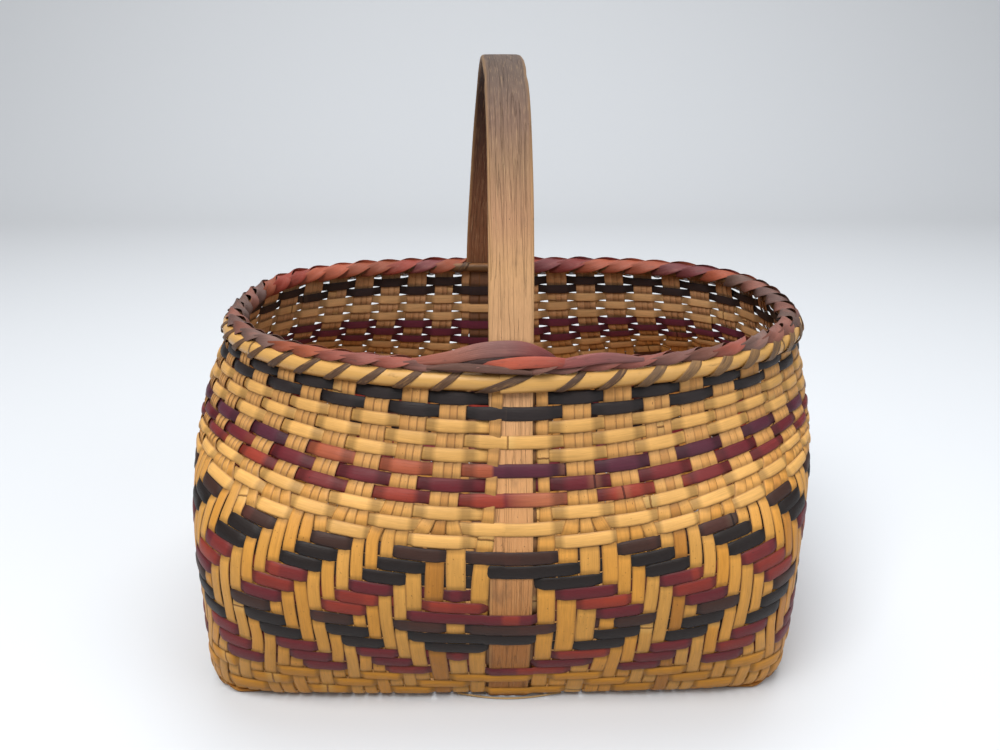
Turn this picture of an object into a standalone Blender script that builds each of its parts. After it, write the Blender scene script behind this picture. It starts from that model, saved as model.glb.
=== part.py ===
"""A market basket of river cane with a fixed oak bow handle.

Flat ribbons of cane splints run across the base and turn up all four walls.
Twenty-six cane wefts are woven round them, two hoops and a lashing close the
rim, and a folded false braid lies on top. Metres, +Z up, +X to the right of
the front wall, -Y towards the front.
"""

import bisect
import math

import bpy
from mathutils import Vector

# Outline of the woven wall, given at five even heights from the floor to the rim.
RIM_HEIGHT = 0.171
HALF_WIDTHS = (0.1467, 0.1487, 0.1508, 0.1596, 0.1463)
HALF_DEPTHS = (0.1049, 0.1250, 0.1312, 0.1190, 0.1095)
STANDS_RIGHT = (-0.0048, -0.0036, -0.0034, 0.0010, 0.0050)
SQUARENESS = (8.4, 5.8, 4.9, 2.3, 2.0)
BACK_LESS_DEEP = (0.0, 0.0, 0.0, 0.0020, 0.0040)
BACK_SQUARER = (0.0, 0.0, 0.0, 0.5, 1.0)
KNOT_SHARES = (0.08, 0.2, 0.36, 0.55, 0.75, 0.94)

# Splint columns round the basket. The handle takes the room of three.
HANDLE_COLUMNS = 3
BUNDLES_TO_SIDE = (3, 2, 3, 3, 3, 2, 3, 3, 3, 2, 3)
FRONT_BUNDLES = 6
EDGE_SPLINT_COLUMNS = 1
RIBBON_COLUMNS = 1.4
BASE_TWILL = 2
EDGE_SPLINT_SHARE = 0.62
SPLINT_THICK = 0.0006
GAP = 0.0003

# Wefts, one a row.
ROWS = 26
WEFT_THICK = 0.0007
WEFTS_APART = 0.0005

# Oak handle, bent in one bow from the front wall to the back wall.
HANDLE_WIDTH = 0.0196
HANDLE_THICK = 0.0036
HANDLE_WOVEN_THICK = 0.0012
HANDLE_HEIGHT = 0.2996
HANDLE_SQUARENESS = 2.7
HANDLE_TAIL = 0.0008
FRONT_LEG_RIGHT = (0.0002, 0.0006, 0.0010, 0.0014, 0.0018)
BACK_LEG_LEFT = 0.0104
HANDLE_STEPS = 28

# Rim hoops, lashing and false braid.
HOOP_TALL = 0.0082
OUTER_HOOP_THICK = 0.0040
INNER_HOOP_THICK = 0.0028
LASH_WIDTH = 0.0040
LASH_THICK = 0.0004
LASH_LEAN = 0.45
BRAID_WIDTH = 0.0090
BRAID_TALL = 0.0046
BRAID_FOLD = 0.0007
BRAID_STEPS = 72
BRAID_RAMP = 4.5

RING_POINTS = 720
PROFILE_STEPS = 60
SETTLE_ROUNDS = 30
BASE_LIFT = SPLINT_THICK + GAP
BASE_LEVEL = SPLINT_THICK / 2 + BASE_LIFT
HALF_COLUMNS = HANDLE_COLUMNS + 2 * EDGE_SPLINT_COLUMNS + 2 * sum(BUNDLES_TO_SIDE)
COLUMNS = 2 * HALF_COLUMNS
HOOP_LOW = RIM_HEIGHT - HOOP_TALL
BEHIND_LEG = -(HANDLE_WOVEN_THICK / 2 + GAP + SPLINT_THICK / 2)
HOOP_OUT = HANDLE_WOVEN_THICK / 2 + 2 * GAP
HOOP_IN = -BEHIND_LEG + SPLINT_THICK / 2 + GAP

COLOURS = {
    "cane": (0.62, 0.38, 0.12),
    "cane_pale": (0.66, 0.44, 0.20),
    "burgundy": (0.155, 0.026, 0.032),
    "plum": (0.115, 0.025, 0.045),
    "rust": (0.36, 0.085, 0.035),
    "black": (0.020, 0.018, 0.022),
    "brown": (0.055, 0.028, 0.024),
    "oak": (0.32, 0.185, 0.095),
    "hoop_cane": (0.58, 0.37, 0.14),
    "bark": (0.20, 0.125, 0.080),
    "brick": (0.30, 0.085, 0.055),
}
ROW_COLOURS = (
    ["cane"] * 3
    + ["burgundy"] * 3
    + ["black", "black", "brown", "burgundy", "rust", "burgundy", "black", "black", "brown"]
    + ["cane_pale"] * 3
    + ["rust", "burgundy", "plum"]
    + ["cane_pale"] * 3
    + ["black"] * 2
)


def clear_scene():
    for thing in list(bpy.data.objects):
        bpy.data.objects.remove(thing, do_unlink=True)


def material(name):
    made = bpy.data.materials.get(name)
    if made is None:
        made = bpy.data.materials.new(name)
        made.use_nodes = True
        shader = made.node_tree.nodes["Principled BSDF"]
        shader.inputs["Base Color"].default_value = (*COLOURS[name], 1.0)
        shader.inputs["Roughness"].default_value = 0.6 if name == "oak" else 0.5
        shader.inputs["Metallic"].default_value = 0.0
    return made


def eased(values, share):
    """A smooth curve through values that stand at even steps from 0 to 1."""
    place = min(max(share, 0.0), 1.0) * (len(values) - 1)
    low = min(int(place), len(values) - 2)
    part = place - low
    before = values[low - 1] if low > 0 else 2 * values[0] - values[1]
    after = values[low + 2] if low + 2 < len(values) else 2 * values[-1] - values[-2]
    start, end = values[low], values[low + 1]
    return (
        start
        + 0.5 * part * (end - before)
        + part**2 * (before - 2.5 * start + 2 * end - 0.5 * after)
        + part**3 * (1.5 * (start - end) + 0.5 * (after - before))
    )


class Ring:
    """The wall's outline at one height, read by splint column from the front leg."""

    def __init__(self, height):
        share = height / RIM_HEIGHT
        width, middle = eased(HALF_WIDTHS, share), eased(STANDS_RIGHT, share)
        front_depth, front_square = eased(HALF_DEPTHS, share), eased(SQUARENESS, share)
        back_depth = front_depth - eased(BACK_LESS_DEEP, share)
        back_square = front_square + eased(BACK_SQUARER, share)
        self.height = height
        self.points = []
        for step in range(RING_POINTS + 1):
            turn = math.tau * step / RING_POINTS
            across, along = math.sin(turn), -math.cos(turn)
            depth = back_depth if along > 0 else front_depth
            power = 2 / (back_square if along > 0 else front_square)
            self.points.append(
                Vector((
                    middle + width * math.copysign(abs(across) ** power, across),
                    depth * math.copysign(abs(along) ** power, along),
                    height,
                ))
            )
        self.lengths = [0.0]
        for near, far in zip(self.points, self.points[1:]):
            self.lengths.append(self.lengths[-1] + (far - near).length)
        self.around = self.lengths[-1]
        self.front_leg = eased(FRONT_LEG_RIGHT, share) - middle
        self.back_leg = self.around / 2 + BACK_LEG_LEFT + middle

    def at_length(self, length):
        length %= self.around
        high = max(1, bisect.bisect_left(self.lengths, length))
        low = high - 1
        part = (length - self.lengths[low]) / (self.lengths[high] - self.lengths[low])
        return self.points[low].lerp(self.points[high], part)

    def length_of(self, column):
        column %= COLUMNS
        right_half = self.back_leg - self.front_leg
        if column <= HALF_COLUMNS:
            return self.front_leg + right_half * column / HALF_COLUMNS
        left_half = self.around - right_half
        return self.back_leg + left_half * (column - HALF_COLUMNS) / HALF_COLUMNS

    def point(self, column):
        return self.at_length(self.length_of(column))

    def tangent(self, column):
        length, reach = self.length_of(column), 0.002
        ahead, behind = self.at_length(length + reach), self.at_length(length - reach)
        return (ahead - behind).normalized()

    def outward(self, column):
        along = self.tangent(column)
        return Vector((along.y, -along.x, 0.0))

    @property
    def column_width(self):
        return self.around / COLUMNS


def climb():
    """Heights against the length of the front wall, from the floor up."""
    lengths, heights = [0.0], [0.0]
    for step in range(1, PROFILE_STEPS + 1):
        rise = RIM_HEIGHT / PROFILE_STEPS
        near, far = (eased(HALF_DEPTHS, (step - back) / PROFILE_STEPS) for back in (1, 0))
        lengths.append(lengths[-1] + math.hypot(far - near, rise))
        heights.append(rise * step)
    return lengths, heights


CLIMB = climb()


def read_off(knowns, wanteds, known):
    """The wanted value beside a known one, in two lists that rise together."""
    high = min(max(1, bisect.bisect_left(knowns, known)), len(knowns) - 1)
    low = high - 1
    part = (known - knowns[low]) / (knowns[high] - knowns[low])
    return wanteds[low] + part * (wanteds[high] - wanteds[low])


# The rows share out the wall between the base mat and the lashing under the hoops.
ROWS_START = read_off(*CLIMB[::-1], BASE_LEVEL + BASE_LIFT + SPLINT_THICK / 2 + 2 * GAP)
ROWS_END = read_off(*CLIMB[::-1], HOOP_LOW - LASH_THICK - 3 * GAP)
ROW_PITCH = (ROWS_END - ROWS_START + WEFTS_APART) / ROWS


def row_height(row):
    """Height of the lower edge of a row, with whole rows counted from 1."""
    return read_off(*CLIMB, ROWS_START + (row - 1) * ROW_PITCH)


# The wall is straight between these rings, and each stands between two wefts.
KNOTS = [Ring(0.0)]
for share in KNOT_SHARES:
    KNOTS.append(Ring(row_height(1 + round(share * ROWS) - WEFTS_APART / ROW_PITCH / 2)))
KNOTS.append(Ring(RIM_HEIGHT))
KNOT_HEIGHTS = [ring.height for ring in KNOTS]


def between_knots(height):
    """The rings under and over a height, and its share of the way between them."""
    height = min(max(height, 0.0), RIM_HEIGHT)
    high = max(1, bisect.bisect_left(KNOT_HEIGHTS, height))
    near, far = KNOTS[high - 1], KNOTS[high]
    return near, far, (height - near.height) / (far.height - near.height)


def wall_outward(column, height):
    near, far, part = between_knots(height)
    return near.outward(column).lerp(far.outward(column), part).normalized()


def wall_point(column, height, offset=0.0):
    """A point of the wall's middle surface, or one that stands off it."""
    near, far, part = between_knots(height)
    point = near.point(column).lerp(far.point(column), part)
    point += wall_outward(column, height) * offset
    point.z = height
    return point


def wall_tangent(column, height):
    outward = wall_outward(column, height)
    return Vector((-outward.y, outward.x, 0.0))


def bundle_columns():
    """The middle column of each bundle from the front leg to the back leg, on the right."""
    counts = BUNDLES_TO_SIDE + BUNDLES_TO_SIDE[::-1]
    edge = HANDLE_COLUMNS / 2 + EDGE_SPLINT_COLUMNS
    middles = []
    for count in counts:
        middles.append(edge + count / 2)
        edge += count
    return middles


RIGHT_BUNDLES = bundle_columns()
SIDE_COUNT = len(RIGHT_BUNDLES)
EDGE_SPLINT = HANDLE_COLUMNS / 2 + EDGE_SPLINT_COLUMNS / 2
LEG_GROUP_EDGE = HANDLE_COLUMNS / 2 + EDGE_SPLINT_COLUMNS + 0.1


def strip_object(name, pairs, thick, colour, home, closed=False, weights=None):
    """A flat strip through pairs of edge points, given its thickness by Solidify."""
    mesh = bpy.data.meshes.new(name)
    count = len(pairs)
    quads = [
        (2 * i, 2 * i + 1, 2 * ((i + 1) % count) + 1, 2 * ((i + 1) % count))
        for i in range(count if closed else count - 1)
    ]
    mesh.from_pydata([point for pair in pairs for point in pair], [], quads)
    mesh.materials.append(material(colour))
    made = bpy.data.objects.new(name, mesh)
    home.objects.link(made)
    solid = made.modifiers.new("thickness", "SOLIDIFY")
    solid.thickness = thick
    solid.offset = 0.0
    solid.use_even_offset = True
    if weights:
        group = made.vertex_groups.new(name="stout")
        for i, weight in enumerate(weights):
            group.add([2 * i, 2 * i + 1], weight, "REPLACE")
        solid.vertex_group = group.name
    return made


def loft_object(name, sections, colour, home):
    """A closed hoop through like sections, each a list of corner points."""
    mesh = bpy.data.meshes.new(name)
    count, corners = len(sections), len(sections[0])
    faces = []
    for i in range(count):
        ahead = (i + 1) % count
        for k in range(corners):
            side = (k + 1) % corners
            faces.append((
                i * corners + k,
                ahead * corners + k,
                ahead * corners + side,
                i * corners + side,
            ))
    mesh.from_pydata([point for section in sections for point in section], [], faces)
    mesh.materials.append(material(colour))
    made = bpy.data.objects.new(name, mesh)
    home.objects.link(made)
    return made


def wall_strip(column, foot, top, columns_wide, offset=0.0):
    """Edge points of a ribbon up one wall, from its foot to its top."""
    reach = columns_wide / 2
    return [
        (wall_point(column - reach, height, offset), wall_point(column + reach, height, offset))
        for height in [foot] + KNOT_HEIGHTS[1:-1] + [top]
    ]


def base_crossing(start, end, other_start, other_end):
    """How far along start to end the line crosses the other line, seen from above."""
    run, other = end - start, other_end - other_start
    apart = other_start - start
    return (apart.x * other.y - apart.y * other.x) / (run.x * other.y - run.y * other.x)


def ribbon(name, front, back, columns_wide, crossings, phase, home, offset=0.0):
    """One ribbon up a wall, across the base over and under the others, and up the far wall."""

    def over(index):
        return (index + phase) % (2 * BASE_TWILL) < BASE_TWILL

    def level(index):
        return BASE_LEVEL + (BASE_LIFT if over(index) else -BASE_LIFT)

    top = RIM_HEIGHT - GAP
    feet = (level(0), level(len(crossings) - 1)) if crossings else (BASE_LEVEL, BASE_LEVEL)
    up_front = wall_strip(front, feet[0], top, columns_wide, offset)
    up_back = wall_strip(back, feet[1], top, columns_wide, offset)
    start, end = wall_point(front, feet[0], offset), wall_point(back, feet[1], offset)
    run = (end - start).normalized()
    run.z = 0.0
    across = Vector((run.y, -run.x, 0.0)) * KNOTS[0].column_width * columns_wide / 2
    clear = KNOTS[0].column_width * RIBBON_COLUMNS / 2 + 3 * GAP
    floor = []
    for index, (low, high) in enumerate(crossings):
        share = base_crossing(start, end, low, high)
        for reach, beside in ((-clear, index - 1), (clear, index + 1)):
            if 0 <= beside < len(crossings) and over(beside) == over(index):
                continue
            middle = start.lerp(end, share) + run * reach
            middle.z = level(index)
            floor.append((middle - across, middle + across))
    pairs = up_front[::-1] + floor + [(right, left) for left, right in up_back]
    strip_object(name, pairs, SPLINT_THICK, "cane", home)


def build_ribbons(home):
    sides = {}
    for number in range(FRONT_BUNDLES + 1, SIDE_COUNT - FRONT_BUNDLES + 1):
        column = RIGHT_BUNDLES[number - 1]
        sides[number] = (COLUMNS - column, column)
        left, right = sides[number]
        name = f"stake_across_{number - FRONT_BUNDLES:02d}"
        ribbon(name, left, right, RIBBON_COLUMNS, [], 0, home)
    lines = [
        (wall_point(left, 0.0), wall_point(right, 0.0))
        for left, right in (sides[number] for number in sorted(sides))
    ]
    for number in range(1, FRONT_BUNDLES + 1):
        front, back = RIGHT_BUNDLES[number - 1], RIGHT_BUNDLES[SIDE_COUNT - number]
        for side, a, b, step in (
            ("right", front, back, BASE_TWILL + 1 + number),
            ("left", COLUMNS - front, COLUMNS - back, BASE_TWILL - 1 - number),
        ):
            ribbon(f"stake_{side}_{number}", a, b, RIBBON_COLUMNS, lines, step, home)
    edge_wide = EDGE_SPLINT_COLUMNS * EDGE_SPLINT_SHARE
    for side, a, b, step in (
        ("right", EDGE_SPLINT, HALF_COLUMNS - EDGE_SPLINT, BASE_TWILL + 1),
        ("left", COLUMNS - EDGE_SPLINT, HALF_COLUMNS + EDGE_SPLINT, BASE_TWILL - 1),
    ):
        ribbon(f"leg_splint_{side}", a, b, edge_wide, lines, step, home)
    behind = "stake_behind_handle"
    ribbon(behind, 0.0, HALF_COLUMNS, RIBBON_COLUMNS, lines, BASE_TWILL, home, BEHIND_LEG)


def guarded_stations(row):
    """Stations of one weft: its column, its side, and what it must clear there.

    A guard is a flat ribbon's middle column, its half width in columns, the place across
    it from -1 to 1, and the distance to keep from the middle of its thickness.
    """
    over_first = row % 2 == 1
    clear = (SPLINT_THICK + WEFT_THICK) / 2 + GAP
    over_leg = (HANDLE_WOVEN_THICK + WEFT_THICK) / 2 + 1.5 * GAP
    under_leg = -BEHIND_LEG + clear
    splint = EDGE_SPLINT_COLUMNS * EDGE_SPLINT_SHARE / 2
    stations = []

    def add_leg(column, over):
        for side in (-1, 1):
            guards = [(column, HANDLE_COLUMNS / 2, side, over_leg)]
            if not over:
                guards.append((column, RIBBON_COLUMNS / 2, side, under_leg))
            for across in (-1, 1):
                guards.append((column + side * EDGE_SPLINT, splint, across, clear))
            stations.append((column + side * LEG_GROUP_EDGE, 1 if over else -1, guards))

    def add_bundle(column, over):
        guards = [(column, RIBBON_COLUMNS / 2, across, clear) for across in (-1, 0, 1)]
        stations.append((column, 1 if over else -1, guards))

    add_leg(0.0, over_first)
    for number, column in enumerate(RIGHT_BUNDLES, 1):
        add_bundle(column, over_first == (number % 2 == 0))
    add_leg(float(HALF_COLUMNS), over_first == (SIDE_COUNT % 2 == 1))
    for number in range(SIDE_COUNT, 0, -1):
        add_bundle(COLUMNS - RIGHT_BUNDLES[number - 1], over_first == (number % 2 == 0))
    return stations


def guard_edge(guard, height):
    """A guard's point, the way out from its flat face, and the distance to keep."""
    column, reach, across, need = guard
    left, right = wall_point(column - reach, height), wall_point(column + reach, height)
    along = (right - left).normalized()
    outward = Vector((along.y, -along.x, 0.0))
    # A ribbon that twists between two knots stands off its middle line by a quarter of that.
    near, far, part = between_knots(height)
    spans = [ring.point(column + reach) - ring.point(column - reach) for ring in (near, far)]
    twist = abs((spans[1] - spans[0]).dot(outward)) / 4
    return left.lerp(right, (1 + across) / 2), outward, need + twist * (1 - abs(across))


def stands_off(near, far, edge, outward):
    """How far out from edge the strip between near and far passes."""
    along = (far - near).normalized()
    face = Vector((along.y, -along.x, 0.0))
    return (near - edge).dot(face) * face.dot(outward)


def weft_offsets(height, stations):
    """Each station's offset from the wall, pushed out until every guard is cleared."""
    places = [wall_point(column, height) for column, side, guards in stations]
    normals = [wall_outward(column, height) for column, side, guards in stations]
    offsets = [side * (SPLINT_THICK + WEFT_THICK) for column, side, guards in stations]
    edges = [[guard_edge(guard, height) for guard in guards] for column, side, guards in stations]
    count = len(stations)
    for _ in range(SETTLE_ROUNDS):
        for i in range(count):
            around = [k % count for k in (i - 1, i, i + 1)]
            line = [places[k] + normals[k] * offsets[k] for k in around]
            side, short = stations[i][1], 0.0
            for edge, outward, need in edges[i]:
                ahead = (edge - places[i]).dot(line[2] - line[0]) > 0
                near, far = (line[1], line[2]) if ahead else (line[0], line[1])
                short = max(short, need - side * stands_off(near, far, edge, outward))
            offsets[i] += side * short
    return offsets


def build_wefts(home):
    for row in range(1, ROWS + 1):
        stations = guarded_stations(row)
        edges = []
        for height in (row_height(row), row_height(row + 1 - WEFTS_APART / ROW_PITCH)):
            offsets = weft_offsets(height, stations)
            edges.append([
                wall_point(station[0], height, offset)
                for station, offset in zip(stations, offsets)
            ])
        colour = ROW_COLOURS[row - 1]
        strip_object(f"weft_{row:02d}", list(zip(*edges)), WEFT_THICK, colour, home, closed=True)


def gap_columns():
    """The column midway between each bundle and the next, all the way round."""
    splint_edge = EDGE_SPLINT + EDGE_SPLINT_COLUMNS * EDGE_SPLINT_SHARE / 2
    edge = (splint_edge + RIGHT_BUNDLES[0] - RIBBON_COLUMNS / 2) / 2
    right = [edge]
    for near, far in zip(RIGHT_BUNDLES, RIGHT_BUNDLES[1:]):
        right.append((near + far) / 2)
    right.append(HALF_COLUMNS - edge)
    return right + [COLUMNS - column for column in reversed(right)]


def build_hoops(home):
    stations, outer, inner = [], [], []
    columns = gap_columns()
    for near, far in zip(columns, columns[1:] + [columns[0] + COLUMNS]):
        stations.append(near)
        if far - near > HANDLE_COLUMNS + EDGE_SPLINT_COLUMNS:
            middle = (near + far) / 2
            stations += [middle - HANDLE_COLUMNS / 2, middle + HANDLE_COLUMNS / 2]
        elif far - near > BUNDLES_TO_SIDE[1]:
            stations.append((near + far) / 2)
    for column in stations:
        def corner(height_share, out):
            return wall_point(column, HOOP_LOW + HOOP_TALL * height_share, out)

        thick = OUTER_HOOP_THICK
        outer_section = [
            corner(0.0, HOOP_OUT),
            corner(0.25, HOOP_OUT + thick),
            corner(0.75, HOOP_OUT + thick),
            corner(1.0, HOOP_OUT),
        ]
        thick = INNER_HOOP_THICK
        inner_section = [
            corner(0.0, -HOOP_IN),
            corner(1.0, -HOOP_IN),
            corner(0.85, -HOOP_IN - thick),
            corner(0.15, -HOOP_IN - thick),
        ]
        outer.append(outer_section)
        inner.append(inner_section)
    loft_object("outer_hoop", outer, "hoop_cane", home)
    loft_object("inner_hoop", inner, "hoop_cane", home)


def build_lashing(home):
    half_thick = LASH_THICK / 2
    out = HOOP_OUT + OUTER_HOOP_THICK + GAP + half_thick
    back = HOOP_IN + INNER_HOOP_THICK + GAP + half_thick
    low = HOOP_LOW - GAP - half_thick
    high = RIM_HEIGHT + GAP + half_thick
    columns = gap_columns()
    sections = []
    for near, far in zip(columns, columns[1:] + [columns[0] + COLUMNS]):
        lean = 0.1 if far - near > HANDLE_COLUMNS + EDGE_SPLINT_COLUMNS else LASH_LEAN
        top = near + lean * (far - near)
        for column, height, offset, up, outer in (
            (near, low, out, -1, 1),
            (top, high, out, 1, 1),
            (top, high, -back, 1, -1),
            (far, low, -back, -1, -1),
        ):
            half = wall_tangent(column, height) * LASH_WIDTH / 2
            section = []
            for face in (1, -1):
                point = wall_point(column, height, offset + face * outer * half_thick)
                point.z = height + face * up * half_thick
                section += [point + half, point - half][:: int(face)]
            sections.append(section)
    loft_object("rim_lashing", sections, "bark", home)


def leg_bump(column):
    """1 at a handle leg, falling smoothly to 0 a few columns away."""
    apart = min(abs((column - leg + COLUMNS / 2) % COLUMNS - COLUMNS / 2) for leg in (0, HALF_COLUMNS))
    flat = HANDLE_COLUMNS / 2 + 0.6
    share = min(max(1 - (apart - flat) / BRAID_RAMP, 0.0), 1.0)
    return share * share * (3 - 2 * share)


def build_braid(home):
    bottom = RIM_HEIGHT + 2 * GAP + LASH_THICK
    past_leg = HANDLE_THICK / 2 + GAP + BRAID_WIDTH / 2 + BRAID_FOLD
    sections = []
    for step in range(BRAID_STEPS):
        column = COLUMNS * step / BRAID_STEPS
        fold = BRAID_FOLD * (-1) ** step
        middle = past_leg * leg_bump(column) + fold
        section = []
        for out, up in ((-0.5, 0.0), (-0.3, 1.0), (0.15, 0.9), (0.5, 0.0)):
            point = wall_point(column, RIM_HEIGHT, middle + BRAID_WIDTH * out)
            point.z = bottom + (BRAID_TALL + fold) * up
            section.append(point)
        sections.append(section[::-1])
    loft_object("rim_braid", sections, "brick", home)


def build_handle(home):
    pairs, weights = [], []
    woven = HANDLE_WOVEN_THICK / HANDLE_THICK
    front = [HANDLE_TAIL] + KNOT_HEIGHTS[1:]
    for height in front:
        middle = wall_point(0.0, height)
        half = wall_tangent(0.0, height) * HANDLE_WIDTH / 2
        pairs.append((middle - half, middle + half))
        weights.append(woven)
    foot, far_foot = wall_point(0.0, RIM_HEIGHT), wall_point(HALF_COLUMNS, RIM_HEIGHT)
    rise = HANDLE_HEIGHT - HANDLE_THICK / 2 - RIM_HEIGHT
    power = 2 / HANDLE_SQUARENESS
    for step in range(1, HANDLE_STEPS):
        turn = math.pi * step / HANDLE_STEPS
        share = step / HANDLE_STEPS
        forward = math.copysign(abs(math.cos(turn)) ** power, math.cos(turn))
        middle = Vector((
            foot.x + (far_foot.x - foot.x) * share**3,
            foot.y * forward,
            RIM_HEIGHT + rise * math.sin(turn) ** power,
        ))
        half = Vector((HANDLE_WIDTH / 2, 0.0, 0.0))
        pairs.append((middle - half, middle + half))
        weights.append(1.0 if 1 < step < HANDLE_STEPS - 1 else 0.75)
    for height in reversed(front):
        middle = wall_point(HALF_COLUMNS, height)
        half = wall_tangent(HALF_COLUMNS, height) * HANDLE_WIDTH / 2
        pairs.append((middle + half, middle - half))
        weights.append(woven)
    strip_object("handle_bow", pairs, HANDLE_THICK, "oak", home, weights=weights)


def face_outward(home):
    """Turns every strip and hoop so that its faces point out of the solid."""
    for made in home.objects:
        mesh = made.data
        if not made.modifiers:
            volume = sum(
                mesh.vertices[face.vertices[0]].co.dot(
                    mesh.vertices[face.vertices[i]].co.cross(mesh.vertices[face.vertices[i + 1]].co)
                )
                for face in mesh.polygons
                for i in range(1, len(face.vertices) - 1)
            )
            if volume < 0:
                mesh.flip_normals()
        mesh.update()


def main():
    clear_scene()
    home = bpy.data.collections.new("river_cane_basket")
    bpy.context.scene.collection.children.link(home)
    build_ribbons(home)
    build_wefts(home)
    build_hoops(home)
    build_lashing(home)
    build_braid(home)
    build_handle(home)
    face_outward(home)


main()
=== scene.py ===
import math

import bpy
import numpy as np
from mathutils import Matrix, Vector


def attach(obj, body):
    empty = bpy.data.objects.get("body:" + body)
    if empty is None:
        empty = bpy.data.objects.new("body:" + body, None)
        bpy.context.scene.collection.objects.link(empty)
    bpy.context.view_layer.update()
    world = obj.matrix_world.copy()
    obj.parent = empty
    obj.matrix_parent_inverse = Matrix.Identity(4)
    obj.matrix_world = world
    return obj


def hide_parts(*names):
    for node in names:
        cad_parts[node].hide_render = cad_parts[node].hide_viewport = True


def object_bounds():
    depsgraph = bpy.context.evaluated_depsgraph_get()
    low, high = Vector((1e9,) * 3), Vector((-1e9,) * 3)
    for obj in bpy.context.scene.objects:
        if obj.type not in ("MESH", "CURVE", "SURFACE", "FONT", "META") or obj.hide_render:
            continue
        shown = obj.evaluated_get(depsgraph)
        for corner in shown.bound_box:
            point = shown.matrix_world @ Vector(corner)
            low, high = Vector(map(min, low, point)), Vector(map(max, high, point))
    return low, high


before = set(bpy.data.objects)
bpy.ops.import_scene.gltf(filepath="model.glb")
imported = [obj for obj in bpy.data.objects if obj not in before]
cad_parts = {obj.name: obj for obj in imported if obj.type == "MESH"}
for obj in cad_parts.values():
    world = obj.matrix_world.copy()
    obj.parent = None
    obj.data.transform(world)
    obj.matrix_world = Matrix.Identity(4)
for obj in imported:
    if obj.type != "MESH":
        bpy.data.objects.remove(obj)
solid_box = [list(corner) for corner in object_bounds()]

# Camera. It stands in front of the long wall, a little over the rim, and looks down
# into the mouth, as a person at a bench would.
CAMERA_AT = (-0.0101, -0.5183, 0.3095)
CAMERA_DOWN = math.radians(18.96)
CAMERA_TURN = math.radians(0.89)


def new_object(name, data):
    """An object of the scene that shows the data."""
    made = bpy.data.objects.new(name, data)
    bpy.context.scene.collection.objects.link(made)
    return made


camera = new_object("camera", bpy.data.cameras.new("camera"))
camera.data.sensor_width = 36.0
camera.data.lens = 35.81
camera.data.clip_end = 100.0
camera.location = CAMERA_AT
camera.rotation_euler = (math.pi / 2 - CAMERA_DOWN, 0.0, -CAMERA_TURN)
bpy.context.scene.camera = camera

# Upright splints. Each is one flat split of river cane, natural yellow, that climbs one
# wall, crosses the base in a twill and climbs the wall opposite. They stand edge to edge
# low down and are drawn together in threes and fours under the rim.
RIM_HEIGHT = 0.171
HALF_WIDTHS = (0.1467, 0.1487, 0.1508, 0.1596, 0.1463)
HALF_DEPTHS = (0.1049, 0.1250, 0.1312, 0.1190, 0.1095)
STANDS_RIGHT = (-0.0048, -0.0036, -0.0034, 0.0010, 0.0050)
SQUARENESS = (8.4, 5.8, 4.9, 2.3, 2.0)
BACK_LESS_DEEP = (0.0, 0.0, 0.0, 0.0020, 0.0040)
BACK_SQUARER = (0.0, 0.0, 0.0, 0.5, 1.0)
FRONT_LEG_RIGHT = (0.0002, 0.0006, 0.0010, 0.0014, 0.0018)
BACK_LEG_LEFT = 0.0104
ROWS = 26
ROW_PITCH = 0.006406
ROWS_START = 0.003329
LOWER_ROWS = 15
COLUMNS = 130
FRONT_SIZES = (3, 3, 3, 3, 3, 3)
SIDE_SIZES = (4, 3, 4, 3, 4, 4, 3, 4, 3, 4)
BUNDLE_SIZES = FRONT_SIZES + SIDE_SIZES + FRONT_SIZES[::-1]
FRONT_BUNDLES = len(FRONT_SIZES)
SPLINTS_A_SIDE = sum(BUNDLE_SIZES) + 2
SPLINTS = 2 * SPLINTS_A_SIDE + 6
FIRST_BUNDLE = 4.15
BUNDLE_STEP = 2.7
SPLINT_THICK = 0.00055
SPLINT_RISE = 0.00042
SPLINT_SINK = SPLINT_RISE * 1.1
DRAWN_WIDTH = 0.0052
CORNER_REACH = 0.0045
BASE_HEIGHT = 0.0012


def eased(values, share):
    """A smooth curve through values at even steps, read at shares from 0 to 1."""
    values, share = np.asarray(values), np.clip(share, 0, 1)
    padded = np.concatenate([[2 * values[0] - values[1]], values, [2 * values[-1] - values[-2]]])
    place = share * (len(values) - 1)
    low = np.minimum(place.astype(int), len(values) - 2)
    part = place - low
    before, start, end, after = (padded[low + k] for k in range(4))
    return (
        start
        + 0.5 * part * (end - before)
        + part**2 * (before - 2.5 * start + 2 * end - 0.5 * after)
        + part**3 * (1.5 * (start - end) + 0.5 * (after - before))
    )


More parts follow.
